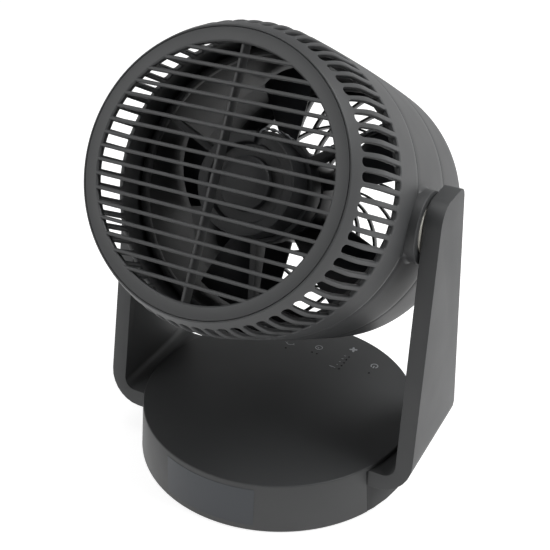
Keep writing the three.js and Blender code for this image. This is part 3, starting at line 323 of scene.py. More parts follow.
def plain(name, colour, roughness, ior=1.5):
    """A thin or small finish with only a slow change in gloss."""
    material, tree, shader = new_material(name, colour, roughness, ior=ior)
    place = add(tree, "ShaderNodeTexCoord")
    slow = add(tree, "ShaderNodeTexNoise", [("Vector", place.outputs["Object"])],
               Scale=1 / (4 * MM), Detail=2.0)
    spread = add(tree, "ShaderNodeMapRange", [("Value", slow.outputs["Fac"])])
    spread.inputs["To Min"].default_value = roughness - 0.04
    spread.inputs["To Max"].default_value = roughness + 0.04
    tree.links.new(spread.outputs["Result"], shader.inputs["Roughness"])
    return material


STEEL = banded_metal("steel_turned", "a2a4a7", 0.28, 0.3, "Z", 0.08)
CORE = banded_metal("core_steel_stacked", "5c5f63", 0.48, 0.5, "Y", 0.12)
BOARD = plain("circuit_board_lacquer", "1d5a3a", 0.35, 1.55)
INK = plain("sign_ink_pale_grey", "9b9da0", 0.5)
WINDOW = plain("lamp_window_smoked", "141415", 0.25)
JACKET = plain("lead_jacket_pvc_grey", "6d6f72", 0.42, 1.53)
JACKET_DARK = plain("lead_jacket_pvc_black", "2a2b2d", 0.42, 1.53)
PLATE_FILM = plain("blank_rating_film", "3c4046", 0.36)
print("materials:", len(bpy.data.materials))

# %% [markdown]
# ## The drum's side
#
# The side isn't a cylinder. It is a very flat arc, widest behind the pivots, that runs into a
# sloping rim at the intake. The rim is a quadratic curve. Both are written as functions of depth,
# because four pieces share them and must meet at the parting lines.

# %% Outline of the drum
BODY_RADIUS = 97.2
WIDEST_DEPTH = 150.0
CROWN_RADIUS = 2800.0
SEAT_RADIUS = 84.0
LIP_WIDTH = 0.9
SHOULDER_KNEE = 19.0
SHOULDER_END = 34.0
WALL = 2.6
GAP = 0.3
SKIN = 0.12  # how far the smooth side lies inside the facetted solids' corners
DRUM_FACETS = 160


def side(depth):
    return BODY_RADIUS - SKIN - (depth - WIDEST_DEPTH) ** 2 / (2 * CROWN_RADIUS)


def shoulder(depth):
    """Radius of the outside at a depth, rim included."""
    if depth >= SHOULDER_END:
        return side(depth)
    a = SHOULDER_END - 2 * SHOULDER_KNEE
    t = (-SHOULDER_KNEE + math.sqrt(SHOULDER_KNEE**2 + a * depth)) / a
    start, end = SEAT_RADIUS + LIP_WIDTH, side(SHOULDER_END)
    return start * (1 - t) ** 2 + end * (2 * t * (1 - t) + t * t)


print("radius at depth:", {d: round(shoulder(d), 2) for d in (0, 5, 10, 19, 34, 60, 104, 150, 208)})

# %% [markdown]
# ## The slotted rear casing
#
# Sixty-eight slots leave ribs about three millimetres wide that bend over the rim. What makes
# them look moulded is the rounding of every slot edge, and a bevel over thousands of boolean
# edges is slow and fragile. So one pitch of the ring is drawn flat as a grid that goes round the
# slot: each ring of the grid is the slot's outline moved outward by a little, and a rule drops
# the rings near the slot along a quarter circle. The grid is then wrapped onto the drum and
# repeated. The intake ends of the slots are round, the other ends are square with small corners.

# %% Slotted ring
SLOT_COUNT = 68
SLOT_FIRST_ANGLE = 0.8
SLOT_WIDTH = 5.5
SLOT_START = 8.0
SLOT_END = 56.5
SLOT_CORNER = 1.3
RIB_ROUNDING = 1.05
RIB_DEPTH = 3.0
CELL_MARGIN = 2.2  # from a slot's end to the end of its cell
SMALL_EDGE = 0.35  # rounding of edges that only a close look shows
SEAT_DEPTH = 4.5  # of the opening that takes the grille
LEDGE_WIDTH = 3.5  # of the ledge behind the grille
CASING_END = 88.7
STEP_START = 81.0  # where the ring is drawn in for the barrel's edge
PITCH = 2 * math.pi / SLOT_COUNT
half = SLOT_WIDTH / 2
cell_start, cell_end = SLOT_START - CELL_MARGIN, SLOT_END + CELL_MARGIN

# Outline points as (across, depth), with the outward direction and the place on the cell's edge,
# which is (share of the half pitch, depth).
outline = []
for degrees in range(-90, 91, 15):
    a = math.radians(degrees)
    q = (half * math.sin(a), SLOT_START + half - half * math.cos(a))
    steep = abs(math.tan(a)) if abs(degrees) < 90 else 1e9
    share = math.copysign(min(1.0, steep), a)
    depth = cell_start + (SLOT_START + half - cell_start) * max(0.0, 1 - 1 / max(steep, 1e-9))
    outline.append((q, (math.sin(a), -math.cos(a)), (share, depth)))
straight = SLOT_END - SLOT_CORNER - SLOT_START - half
long_side = [SLOT_START + half + straight * k / 14 for k in range(1, 15)]
outline += [((half, d), (1, 0), (1, d)) for d in long_side]
middle_u, middle_d = half - SLOT_CORNER, SLOT_END - SLOT_CORNER
edge_d = {15: 0.25, 30: 0.6, 45: 1.0}
corner = []
for degrees in (15, 30, 45, 60, 75, 90):
    a = math.radians(degrees)
    q = (middle_u + SLOT_CORNER * math.cos(a), middle_d + SLOT_CORNER * math.sin(a))
    if degrees <= 45:
        edge = (1, middle_d + (cell_end - middle_d) * edge_d[degrees])
    else:
        edge = ({60: 0.85, 75: 0.7, 90: 0.5}[degrees], cell_end)
    corner.append((q, (math.cos(a), math.sin(a)), edge))
outline += corner
outline += [((0, SLOT_END), (0, 1), (0, cell_end))]
mirrored = [((-q[0], q[1]), (-n[0], n[1]), (-e[0], e[1])) for q, n, e in reversed(corner)]
outline += mirrored + [((-half, d), (-1, 0), (-1, d)) for d in reversed(long_side)]

# Rings from the outside of the cell over the rounding, down the slot's wall, to the inside.
rings = [("edge", 0.0)]
for k in range(5, -1, -1):
    angle = math.radians(90 * k / 5)
    rings.append((RIB_ROUNDING * (1 - math.cos(angle)), RIB_ROUNDING * (1 - math.sin(angle))))
rings += [(0.0, RIB_DEPTH * 0.6), (0.0, RIB_DEPTH - SMALL_EDGE)]
rings += [(SMALL_EDGE, RIB_DEPTH), ("edge", RIB_DEPTH)]


def wrap(u_angle, depth, drop):
    r = shoulder(depth) - drop
    return (r * math.cos(u_angle), depth, r * math.sin(u_angle))


shapes = []
n = len(outline)
for i in range(SLOT_COUNT):
    centre = math.radians(SLOT_FIRST_ANGLE) + i * PITCH
    verts = []
    for out, drop in rings:
        for (u, d), (nu, nd), (share, edge) in outline:
            if out == "edge":
                verts.append(wrap(centre + share * PITCH / 2, edge, drop))
            else:
                depth = d + nd * out
                verts.append(wrap(centre + (u + nu * out) / shoulder(depth), depth, drop))
    faces = []
    for k in range(len(rings) - 1):
        for j in range(n):
            m = (j + 1) % n
            faces.append((k * n + j, k * n + m, (k + 1) * n + m, (k + 1) * n + j))
    shapes.append((verts, faces))


def band(shares, stations):
    """A closed band of the ring. stations are (radius, depth), shares split each pitch."""
    angles = [
        math.radians(SLOT_FIRST_ANGLE) + (i + s / 2) * PITCH for i in range(SLOT_COUNT) for s in shares
    ]
    verts = [(r * math.cos(a), d, r * math.sin(a)) for a in angles for r, d in stations]
    count, total = len(stations), len(angles)
    faces = [
        (k * count + j, k * count + j + 1, (k + 1) % total * count + j + 1, (k + 1) % total * count + j)
        for k in range(total)
        for j in range(count - 1)
    ]
    return verts, faces


front_shares = [math.copysign(min(1, abs(math.tan(math.radians(a)))), a) for a in range(-45, 45, 15)]
rim = [(shoulder(d), d) for d in (cell_start, 4.6, 3.4, 2.3, 1.3, 0.6, 0.2)]
inner_rim = [
    (SEAT_RADIUS + LIP_WIDTH - 0.3, 0.0), (SEAT_RADIUS + 0.25, 0.0), (SEAT_RADIUS, 0.25),
    (SEAT_RADIUS, SEAT_DEPTH), (SEAT_RADIUS - LEDGE_WIDTH, SEAT_DEPTH),
    (SEAT_RADIUS - LEDGE_WIDTH, cell_start),
    (shoulder(cell_start) - RIB_DEPTH, cell_start),
]
shapes.append(band(front_shares, rim + inner_rim))
back_shares = [-1, -0.85, -0.7, -0.5, 0, 0.5, 0.7, 0.85]
steps = 8
outside = [cell_end + (CASING_END - SMALL_EDGE - cell_end) * k / steps for k in range(steps + 1)]
rear = [(shoulder(d), d) for d in outside]
rear += [(side(CASING_END) - 0.1, CASING_END - 0.1), (side(CASING_END) - SMALL_EDGE, CASING_END)]
rear += [(side(CASING_END) - WALL, CASING_END), (side(CASING_END) - WALL, STEP_START)]
rear += [(shoulder(cell_end) - RIB_DEPTH, cell_end)]
shapes.append(band(back_shares, rear))
rear_casing = make("rear_casing_ring", *merged(shapes), HEAD, sharp=50)
dress(rear_casing, "head", ABS_HOUSING, ["rear_casing"])
print("rear casing:", len(rear_casing.data.vertices), "points, ribs",
      round(PITCH * shoulder(30) - SLOT_WIDTH, 2), "mm wide")

# %% [markdown]
# ## The intake grille
#
# The grille is one flat insert: a rim, seventeen level bars and an upright rib behind them. Bars
# this thin are moulded with a rounded front so that the air doesn't whistle, and each is cut to
# end under the rim. The row sits a little high, as in the photograph.

# %% Intake grille
GRILLE_RIM = 8.7
GRILLE_DEPTH = 4.2
BAR_COUNT = 17
BAR_PITCH = 8.34
BAR_OFFSET = 1.86
BAR_HEIGHT = 2.2
BAR_DEPTH = 4.0
BAR_TUCK = 3.0  # how far a bar runs under the rim
SPINE = (2.2, 3.0, 11.5)  # thickness, front, back
outer, inner = SEAT_RADIUS - GAP, SEAT_RADIUS - GRILLE_RIM
grille_rim = round_corners(
    [(outer, 0.02), (outer, GRILLE_DEPTH), (inner, GRILLE_DEPTH), (inner, 0.9), (inner + 0.9, 0.02)],
    SMALL_EDGE,
)
shapes = [turned(grille_rim, 180)]
for i in range(BAR_COUNT):
    up = (i - (BAR_COUNT - 1) / 2) * BAR_PITCH + BAR_OFFSET
    reach = math.sqrt((inner + BAR_TUCK) ** 2 - (abs(up) + BAR_HEIGHT / 2) ** 2)
    h = BAR_HEIGHT / 2
    section = round_corners([(0.05, -h), (BAR_DEPTH, -h), (BAR_DEPTH, h), (0.05, h)], 0.75, steps=4)
    shapes.append(prism([(d, up + z) for d, z in section], -reach, reach, "X"))
thick, front, back = SPINE
tall = SEAT_RADIUS - LEDGE_WIDTH - GAP - 0.2
section = round_corners(
    [(-thick / 2, front), (thick / 2, front), (thick / 2, back), (-thick / 2, back)], 0.6, steps=3
)
shapes.append(prism(section, -tall, tall, "Z"))
intake_grille = make("intake_grille_insert", *merged(shapes), HEAD, sharp=45)
dress(intake_grille, "head", ABS_GRILLE, ["intake_grille"])
print("bars:", BAR_COUNT, "clear gap", BAR_PITCH - BAR_HEIGHT, "mm")

# %% [markdown]
# ## Barrel with its pivot bosses
#
# The middle ring is plain. Its edges are rounded by a third of a millimetre, which is what makes
# the two parting lines show as thin dark lines. A round boss stands out on each side and carries
# the pivot. A hollow fillet leads from the drum's side up to the boss: it follows the drum's
# curve, so it is drawn as a grid over the direction round the pivot and the way up the fillet.

# %% Barrel
BARREL_START = CASING_END + GAP
BARREL_LENGTH = 59.0
BARREL_END = BARREL_START + BARREL_LENGTH
BOSS_RADIUS = 23.5
BOSS_FACE = BODY_RADIUS + 4.6
BOSS_SINK = 9.0  # how far the boss reaches into the wall
PIN_HOLE = 7.35
WASHER_SEAT = (16.8, 1.1)  # radius and depth
FILLET = 2.4
BOSS_FACETS = 96
stations = [BARREL_START + BARREL_LENGTH * k / 8 for k in range(9)]
profile = [(side(d), d) for d in stations]
profile += [(side(BARREL_END) - WALL, BARREL_END), (side(BARREL_START) - WALL, BARREL_START)]
shapes = [turned(round_corners(profile, SMALL_EDGE), DRUM_FACETS)]


def side_across(along, up):
    """How far out the drum's side is, at a place beside the pivot."""
    return math.sqrt(side(PIVOT_DEPTH + along) ** 2 - up**2)


for turn in (1, -1):
    floor_x = BOSS_FACE - WASHER_SEAT[1]
    face = [
        (PIN_HOLE, BOSS_FACE - BOSS_SINK), (PIN_HOLE, floor_x), (WASHER_SEAT[0], floor_x),
        (WASHER_SEAT[0], BOSS_FACE - 0.05), (BOSS_RADIUS, BOSS_FACE - 0.05),
        (BOSS_RADIUS, BOSS_FACE - BOSS_SINK),
    ]
    verts, faces = turned(round_corners(face, 0.5, steps=4), BOSS_FACETS, "X")
    shapes.append(([(turn * x, y + PIVOT_DEPTH, z) for x, y, z in verts], faces))
    verts, faces, rows = [], [], 9
    for k in range(BOSS_FACETS):
        a = 2 * math.pi * k / BOSS_FACETS
        forward = max(0.0, -math.cos(a))
        reach = FILLET if PIVOT_DEPTH - (BOSS_RADIUS + FILLET) * forward > BARREL_START else 0.02
        for j in range(rows):
            q = math.radians(90 * j / (rows - 1))
            r = BOSS_RADIUS - 0.02 + reach * (1 - math.sin(q))
            y, z = r * math.cos(a), r * math.sin(a)
            lift = reach * (1 - math.cos(q))
            verts.append((turn * (side_across(y, z) + lift - 0.01), y + PIVOT_DEPTH, z))
    for k in range(BOSS_FACETS):
        for j in range(rows - 1):
            here, there = k * rows + j, (k + 1) % BOSS_FACETS * rows + j
            faces.append((here, here + 1, there + 1, there))
    shapes.append((verts, faces))
barrel = make("barrel_ring", *merged(shapes), HEAD, sharp=40)
dress(barrel, "head", ABS_HOUSING, ["barrel"])
print("barrel from", BARREL_START, "to", BARREL_END)

# %% [markdown]
# ## Outlet casing and swept fins
#
# The last ring closes the drum with a soft rounding. Its insert has thin fins that sweep round as
# they go out, which straightens the swirl that the impeller leaves. A fin keeps the same angle to
# the radius all the way, so it is a piece of a logarithmic spiral. A middle ring divides the fins
# into two zones, with twice as many of them in the outer one.

# %% Outlet casing and fins
HEAD_LENGTH = 208.0
OUTLET_START = BARREL_END + GAP
OUTLET_ROUNDING = 15.0
OUTLET_RIM = 7.4
OUTLET_LIP = 3.0
OUTLET_PLAIN = 34.0  # length of the side before the rounding
outlet_side = side(HEAD_LENGTH - OUTLET_ROUNDING)
mouth = outlet_side - OUTLET_RIM - OUTLET_LIP
depths = [OUTLET_START + OUTLET_PLAIN * k / 5 for k in range(6)]
profile = [(side(d), d) for d in depths]
for k in range(1, 10):
    a = math.radians(90 * k / 9)
    profile.append((outlet_side - OUTLET_RIM * (1 - math.cos(a)),
                    HEAD_LENGTH - OUTLET_ROUNDING * (1 - math.sin(a)) - 0.02))
profile += [
    (mouth, HEAD_LENGTH - 0.02), (mouth, HEAD_LENGTH - WALL),
    (outlet_side - WALL, HEAD_LENGTH - OUTLET_ROUNDING - WALL), (side(OUTLET_START) - WALL, OUTLET_START),
]
casing = lathe("outlet_casing_ring", profile, DRUM_FACETS, HEAD, rounding=SMALL_EDGE)
dress(casing, "head", ABS_HOUSING, ["outlet_casing"])

FIN_SLOPE = math.tan(math.radians(45))
FIN_THICKNESS = 1.5
FIN_COUNTS = (12, 24)  # inner zone, outer zone
FIN_FRONT, FIN_BACK = HEAD_LENGTH - 10, HEAD_LENGTH - 3
FIN_RIM = 3.0  # width of the insert's outer ring
RING_THICKNESS = 1.6
CAP_RADIUS = 17.0
CAP_RISE = 2.4
EDGE = 0.4  # rounding of a fin's two edges
fin_outer = mouth - GAP
middle_ring = fin_outer * 0.7  # radius


def fin(turn, inner, outer, steps):
    """One fin as four layers of the same outline, the outermost two drawn in for the rounding."""
    verts = []
    layers = [(FIN_FRONT, EDGE), (FIN_FRONT + EDGE, 0), (FIN_BACK - EDGE, 0), (FIN_BACK, EDGE)]
    for depth, drawn_in in layers:
        for hand in (1, -1):
            for k in range(steps + 1):
                r = inner * (outer / inner) ** (k / steps)
                half_angle = (FIN_THICKNESS / 2 - drawn_in) / r * math.hypot(1, FIN_SLOPE)
                a = -turn - FIN_SLOPE * math.log(r / inner) + hand * half_angle
                verts.append((r * math.cos(a), depth, r * math.sin(a)))
    row = steps + 1
    loop = list(range(row)) + list(range(2 * row - 1, row - 1, -1))
    faces = [tuple(loop), tuple(6 * row + i for i in loop)]
    for layer in range(3):
        low, high = 2 * row * layer, 2 * row * (layer + 1)
        for i, j in zip(loop, loop[1:] + loop[:1]):
            faces.append((low + i, low + j, high + j, high + i))
    return verts, faces


def fin_ring(inner, outer, facets):
    return turned(round_corners([(inner, FIN_FRONT), (outer, FIN_FRONT), (outer, FIN_BACK),
                                 (inner, FIN_BACK)], 0.45), facets)


shapes = [fin_ring(fin_outer - FIN_RIM, fin_outer, 144)]
shapes.append(fin_ring(middle_ring - RING_THICKNESS / 2, middle_ring + RING_THICKNESS / 2, 120))
dome = [(0.01, FIN_FRONT), (CAP_RADIUS, FIN_FRONT), (CAP_RADIUS, FIN_BACK)]
dome += [(CAP_RADIUS * math.cos(math.radians(a)), FIN_BACK + CAP_RISE * math.sin(math.radians(a)))
         for a in range(8, 88, 8)]
dome += [(0.01, FIN_BACK + CAP_RISE)]
shapes.append(turned(round_corners(dome, 0.5, closed=False), 96, closed=False))
spans = ((CAP_RADIUS - 1, middle_ring), (middle_ring, fin_outer - FIN_RIM / 2))
for count, (start, stop) in zip(FIN_COUNTS, spans):
    shapes += [fin(2 * math.pi * i / count, start, stop, 14) for i in range(count)]
fins = make("outlet_fin_insert", *merged(shapes), HEAD, sharp=50)
dress(fins, "head", ABS_GRILLE, ["outlet_fins"])
print("fins:", FIN_COUNTS, "mouth radius", round(mouth, 1))

# %% [markdown]
# ## The yoke
#
# The yoke is one thick band. Its CAD solid already has the taper and the bends, so a copy of it
# only needs its long edges broken: a rounding of just under a millimetre gives the thin bright
# line along the arm's front edge.

# %% Yoke
yoke = copy_of("yoke", 0.8, 3)
dress(yoke, "stand", ABS_HOUSING, ["yoke"])
print("yoke faces:", len(yoke.data.polygons))

# %% [markdown]
# ## The base
#
# The base housing is a shallow cup turned upside down. Its wall flares a little, as moulded walls
# do so that they leave the tool. Two notches let the yoke's band through under the top plate, and
# a strip of the base floor fills the rest of each notch.

# %% Base housing
BASE_RADIUS = 100.0
BASE_HEIGHT = 39.0
BASE_FLARE = 2.6
BASE_LIFT = 0.8
BASE_SKIN = 0.02
TOP_EDGE = 1.1  # rounding
CUP_WALL = 3.0
CUP_CEILING = 36.0
NOTCH = (-44.9, 45.4)  # the yoke's way through the wall, from front to back
GLAND_HOLE = {"angle": 135, "radius": 5.8, "height": 19}


def base_wall(z):
    """Radius of the base's outside at a height."""
    return BASE_RADIUS - BASE_SKIN + BASE_FLARE * (BASE_HEIGHT - z) / (BASE_HEIGHT - BASE_LIFT)


flat_end = BASE_RADIUS - TOP_EDGE
profile = [(0.01, BASE_HEIGHT - BASE_SKIN), (flat_end, BASE_HEIGHT - BASE_SKIN)]
for degrees in (15, 30, 45, 60, 75, 90):
    a = math.radians(degrees)
    profile.append((flat_end + (TOP_EDGE - BASE_SKIN) * math.sin(a),
                    BASE_HEIGHT - TOP_EDGE + (TOP_EDGE - BASE_SKIN) * math.cos(a)))
profile += [(base_wall(1.7), 1.7), (base_wall(1.0) - 0.35, 1.05), (base_wall(BASE_LIFT) - 0.9, BASE_LIFT)]
profile += [(BASE_RADIUS + BASE_FLARE - CUP_WALL, BASE_LIFT)]
profile += [(BASE_RADIUS - CUP_WALL, CUP_CEILING), (0.01, CUP_CEILING)]
housing = make("base_housing_cup", *turned(profile, 192, "Z", closed=False), MILLIMETRES)
past = BASE_RADIUS + 6
cut(housing, *box(-past, past, *NOTCH, -5, CUP_CEILING))
gland_turn = Matrix.Rotation(math.radians(GLAND_HOLE["angle"]), 4, "Z")
bore, near, far = GLAND_HOLE["radius"], BASE_RADIUS - 12, BASE_RADIUS + 8
verts, faces = turned([(0.01, near), (bore, near), (bore, far), (0.01, far)], 48, "X", closed=False)
cut(housing, [tuple(gland_turn @ Vector((x, y, z + GLAND_HOLE["height"]))) for x, y, z in verts], faces)
housing.data.set_sharp_from_angle(angle=math.radians(30))
dress(housing, "stand", ABS_HOUSING, ["base_housing"])
print("base housing faces:", len(housing.data.polygons))

# %% [markdown]
# ## Touch signs and the bare plate
#
# The signs are ink on the top, printed to be read from the side that the air blows to. Each is a
# few strokes, and a stroke is a flat ribbon along a line. The round dots beside them are dark
# windows over small lamps. The plate on the wall is a thin film that bends with the wall.

# %% Signs and plate
INK_HEIGHT = 0.03
INK_SINK = 0.05  # how far signs reach into the top
POWER_SIGN, FAN_SIGN, TIMER_SIGN = (47.9, 67.0), (24.7, 79.6), (-0.5, 69.4)


def stroke(points, width, closed=False):
    """A flat ribbon along a line on the base's top."""
    n = len(points)
    left, right = [], []
    for i, here in enumerate(points):
        before = points[i - 1] if closed or i else here
        after = points[(i + 1) % n] if closed or i < n - 1 else here
        way = (Vector(after) - Vector(before)).normalized() * (width / 2)
        left.append((here[0] - way.y, here[1] + way.x))
        right.append((here[0] + way.y, here[1] - way.x))
    verts = [(x, y, BASE_HEIGHT + z) for z in (-INK_SINK, INK_HEIGHT) for x, y in left + right]
    faces = []
    for i in range(n if closed else n - 1):
        j = (i + 1) % n
        a, b, c, d = i, j, n + j, n + i
        faces += [(2 * n + a, 2 * n + b, 2 * n + c, 2 * n + d), (a, b, 2 * n + b, 2 * n + a)]
        faces += [(d, c, 2 * n + c, 2 * n + d)]
    return verts, faces


def circle(x, y, radius, start=0, stop=360, steps=28):
    return [(x + radius * math.cos(math.radians(start + (stop - start) * k / steps)),
             y + radius * math.sin(math.radians(start + (stop - start) * k / steps)))
            for k in range(steps + (stop - start < 360))]


def disc(x, y, radius):
    return prism(circle(x, y, radius, steps=24), BASE_HEIGHT - INK_SINK, BASE_HEIGHT + INK_HEIGHT)


signs = [stroke(circle(*POWER_SIGN, 2.6, -55, 235), 0.75)]
signs.append(stroke([(POWER_SIGN[0], 66.9), (POWER_SIGN[0], 63.9)], 0.75))
for k in range(4):
    a = math.radians(90 * k + 20)
    middle = (FAN_SIGN[0] + 1.75 * math.cos(a), FAN_SIGN[1] + 1.75 * math.sin(a))
    leaf = [(middle[0] + 1.55 * math.cos(t) * math.cos(a) - 0.95 * math.sin(t) * math.sin(a),
             middle[1] + 1.55 * math.cos(t) * math.sin(a) + 0.95 * math.sin(t) * math.cos(a))
            for t in [2 * math.pi * j / 20 for j in range(20)]]
    signs.append(prism(leaf, BASE_HEIGHT - INK_SINK, BASE_HEIGHT + INK_HEIGHT))
signs += [stroke(circle(*TIMER_SIGN, 2.7), 0.6, closed=True),
          stroke([(-0.5, 67.5), TIMER_SIGN, (-1.9, 69.4)], 0.55),
          stroke(circle(-23.4, 65.5, 3.4, 215, 325), 0.65)]
for x, turn in ((-26.2, 130), (-20.6, 50)):
    tip = Vector((x, 63.6))
    arms = [tip + Vector((math.cos(math.radians(turn + d)), math.sin(math.radians(turn + d)))) * 1.6
            for d in (-62, 28)]
    signs.append(stroke([tuple(arms[0]), tuple(tip), tuple(arms[1])], 0.55))
lamps = [(47.8, 56.6), (-2.6, 61.0), (1.6, 61.0), (-23.4, 56.5)]
for k in range(5):
    spot = (25.7 - 0.1 * k, 68.7 - 4.47 * k)
    lamps.append(spot)
    signs.append(stroke([(spot[0] - 4.2, spot[1]), (spot[0] - 2.4 - 0.2 * k, spot[1])], 0.5))
signs.append(stroke([(17.0, 51.1), (20.6, 51.1)], 0.6))
dress(make("touch_sign_ink", *merged(signs), MILLIMETRES), "stand", INK)
dots = make("lamp_windows", *merged([disc(x, y, 0.85) for x, y in lamps]), MILLIMETRES)
dress(dots, "stand", WINDOW)

PLATE = (-38.0, 31.0, 5.5, 34.8)
columns, rows, film = 24, 6, 0.1
x0, x1, z0, z1 = PLATE
verts = []
for skin in (-0.2, film):
    for i in range(columns + 1):
        for j in range(rows + 1):
            x, z = x0 + (x1 - x0) * i / columns, z0 + (z1 - z0) * j / rows
            r = base_wall(z) + skin
            verts.append((x, -math.sqrt(r * r - x * x), z))
layer = (columns + 1) * (rows + 1)
faces = []
for i in range(columns):
    for j in range(rows):
        a = i * (rows + 1) + j
        faces.append((layer + a, layer + a + 1, layer + a + rows + 2, layer + a + rows + 1))
edge = [i * (rows + 1) for i in range(columns + 1)]
edge += [columns * (rows + 1) + j for j in range(1, rows + 1)]
edge += [i * (rows + 1) + rows for i in range(columns - 1, -1, -1)] + list(range(rows - 1, 0, -1))
faces += [(a, b, layer + b, layer + a) for a, b in zip(edge, edge[1:] + edge[:1])]
dress(make("bare_rating_plate", verts, faces, MILLIMETRES), "stand", PLATE_FILM)
print("signs:", len(signs), "lamps:", len(lamps), "plate:", x1 - x0, "x", round(z1 - z0, 1), "mm")

# %% [markdown]
# ## Motor and impeller
#
# Through the bars one sees the motor's back: a flat ring, a hollow and a dome, with a notch for
# the lead. The impeller is drawn again with a fine grid. A blade runs from the hub outward in
# four properties that change along it: where it starts and ends in depth, how far it turns and
# how far it lags.

# %% Motor and impeller
MOTOR_RADIUS = 32.25
MOTOR_BACK, MOTOR_FRONT = 46.0, 86.0
MOTOR_BORE = 30.3
DOME_RADIUS, DOME_RISE = 17.0, 3.6
HOLLOW_RADIUS, HOLLOW_FLOOR = 24.5, 50.5
LEAD_ANGLE = 86.0  # degrees from the right-hand side
quarter = [math.radians(a) for a in range(10, 90, 10)]
profile = [(0.01, MOTOR_BACK + 0.1 - DOME_RISE)]
profile += [(DOME_RADIUS * math.sin(a), MOTOR_BACK + 0.1 - DOME_RISE * math.cos(a)) for a in quarter]
profile += [(DOME_RADIUS, HOLLOW_FLOOR), (HOLLOW_RADIUS, HOLLOW_FLOOR), (HOLLOW_RADIUS + 1, MOTOR_BACK)]
profile += [(MOTOR_RADIUS, MOTOR_BACK), (MOTOR_RADIUS, MOTOR_FRONT), (MOTOR_BORE, MOTOR_FRONT)]
profile += [(MOTOR_BORE, 54), (0.01, 54)]
motor = lathe("motor_can_moulded", profile, 128, HEAD, rounding=0.6, closed=False, sharp=40)
notch = box(HOLLOW_RADIUS, 38, 40, 49.5, -2.5, 2.5)
lift = Matrix.Rotation(-math.radians(LEAD_ANGLE), 4, "Y")
cut(motor, [tuple(lift @ Vector(v)) for v in notch[0]], notch[1], HEAD)
motor.data.set_sharp_from_angle(angle=math.radians(35))
dress(motor, "head", NYLON_BLACK, ["motor_can"])

HUB_RADIUS = 31.0
HUB_START, HUB_DOME, HUB_END = 98, 137, 148
DUCT_GAP, DUCT_WALL, TIP_GAP = 3.4, 2, 2.2
BORE_RADIUS = BODY_RADIUS - 0.66 - WALL  # the barrel's narrow end
BLADE_TIP_RADIUS = BORE_RADIUS - DUCT_GAP - DUCT_WALL - TIP_GAP
BLADE_COUNT = 5
BLADE_BOW = 3.5
BLADE_HALF_THICKNESS = 1.2
FIRST_BLADE = math.radians(14)
ROOT = {"start": 101, "end": 141, "turn": 40, "lag": 0}
TIP = {"start": 114, "end": 139, "turn": 32, "lag": 6}
profile = [(0.01, HUB_END)]
for degrees in range(10, 91, 10):
    a = math.radians(degrees)
    profile.append((HUB_RADIUS * math.sin(a), HUB_DOME + (HUB_END - HUB_DOME) * math.cos(a)))
profile += [(HUB_RADIUS, HUB_START), (HUB_RADIUS - 2, HUB_START)]
profile += [(HUB_RADIUS - 2, HUB_DOME - 1), (0.01, 142)]
shapes = [turned(round_corners(profile, 0.5, closed=False), 128, closed=False)]
span, chord = 16, 24
for number in range(BLADE_COUNT):
    first = FIRST_BLADE + 2 * math.pi * number / BLADE_COUNT
    verts = []
    for face in (-1, 1):
        for i in range(span + 1):
            u = i / span
            here = {k: ROOT[k] + (TIP[k] - ROOT[k]) * u for k in ROOT}
            for j in range(chord + 1):
                w = j / chord
                bow = math.sin(math.pi * w)
                angle = first + math.radians(here["lag"] + here["turn"] * w)
                depth = here["start"] + (here["end"] - here["start"]) * w - BLADE_BOW * bow
                depth += face * BLADE_HALF_THICKNESS * (0.3 + 0.7 * bow)
                r = HUB_RADIUS - 1 + (BLADE_TIP_RADIUS - HUB_RADIUS + 1) * u
                verts.append((r * math.cos(angle), depth, r * math.sin(angle)))
    layer = (span + 1) * (chord + 1)
    faces = []
    for i in range(span):
        for j in range(chord):
            a = i * (chord + 1) + j
            b = a + chord + 1
            faces += [(a, a + 1, b + 1, b), (layer + a, layer + b, layer + b + 1, layer + a + 1)]
    rim = list(range(chord + 1)) + [i * (chord + 1) + chord for i in range(1, span + 1)]
    rim += [span * (chord + 1) + j for j in range(chord - 1, -1, -1)]
    rim += [i * (chord + 1) for i in range(span - 1, 0, -1)]
    faces += [(a, b, layer + b, layer + a) for a, b in zip(rim, rim[1:] + rim[:1])]
    shapes.append((verts, faces))
blades = make("impeller_moulded", *merged(shapes), HEAD, sharp=60)
dress(blades, "fan", ABS_BLADE, ["impeller"])
print("blade tip radius:", round(BLADE_TIP_RADIUS, 2))

# %% [markdown]
# ## The motor's lead
#
# Two insulated wires are twisted round each other once every nine millimetres. Their common line
# is a smooth curve through a few points, and a frame carried along it without twist says where
# each wire lies.

# %% Twisted lead
def polar(angle, radius, depth):
    a = math.radians(angle)
    return Vector((radius * math.cos(a), depth, radius * math.sin(a)))


def smooth_line(points, steps):
    """Catmull-Rom curve with centripetal spacing through the points."""
    ends = [points[0] * 2 - points[1], *points, points[-1] * 2 - points[-2]]
    out = []
    for a, b, c, d in zip(ends, ends[1:], ends[2:], ends[3:]):
        t0, t1 = 0.0, (b - a).length ** 0.5
        t2 = t1 + (c - b).length ** 0.5
        t3 = t2 + (d - c).length ** 0.5
        for k in range(steps):
            t = t1 + (t2 - t1) * k / steps
            ab, bc = a.lerp(b, (t - t0) / (t1 - t0)), b.lerp(c, (t - t1) / (t2 - t1))
            cd = c.lerp(d, (t - t2) / (t3 - t2))
            early, late = ab.lerp(bc, (t - t0) / (t2 - t0)), bc.lerp(cd, (t - t1) / (t3 - t1))
            out.append(early.lerp(late, (t - t1) / (t2 - t1)))
    return out + [points[-1]]


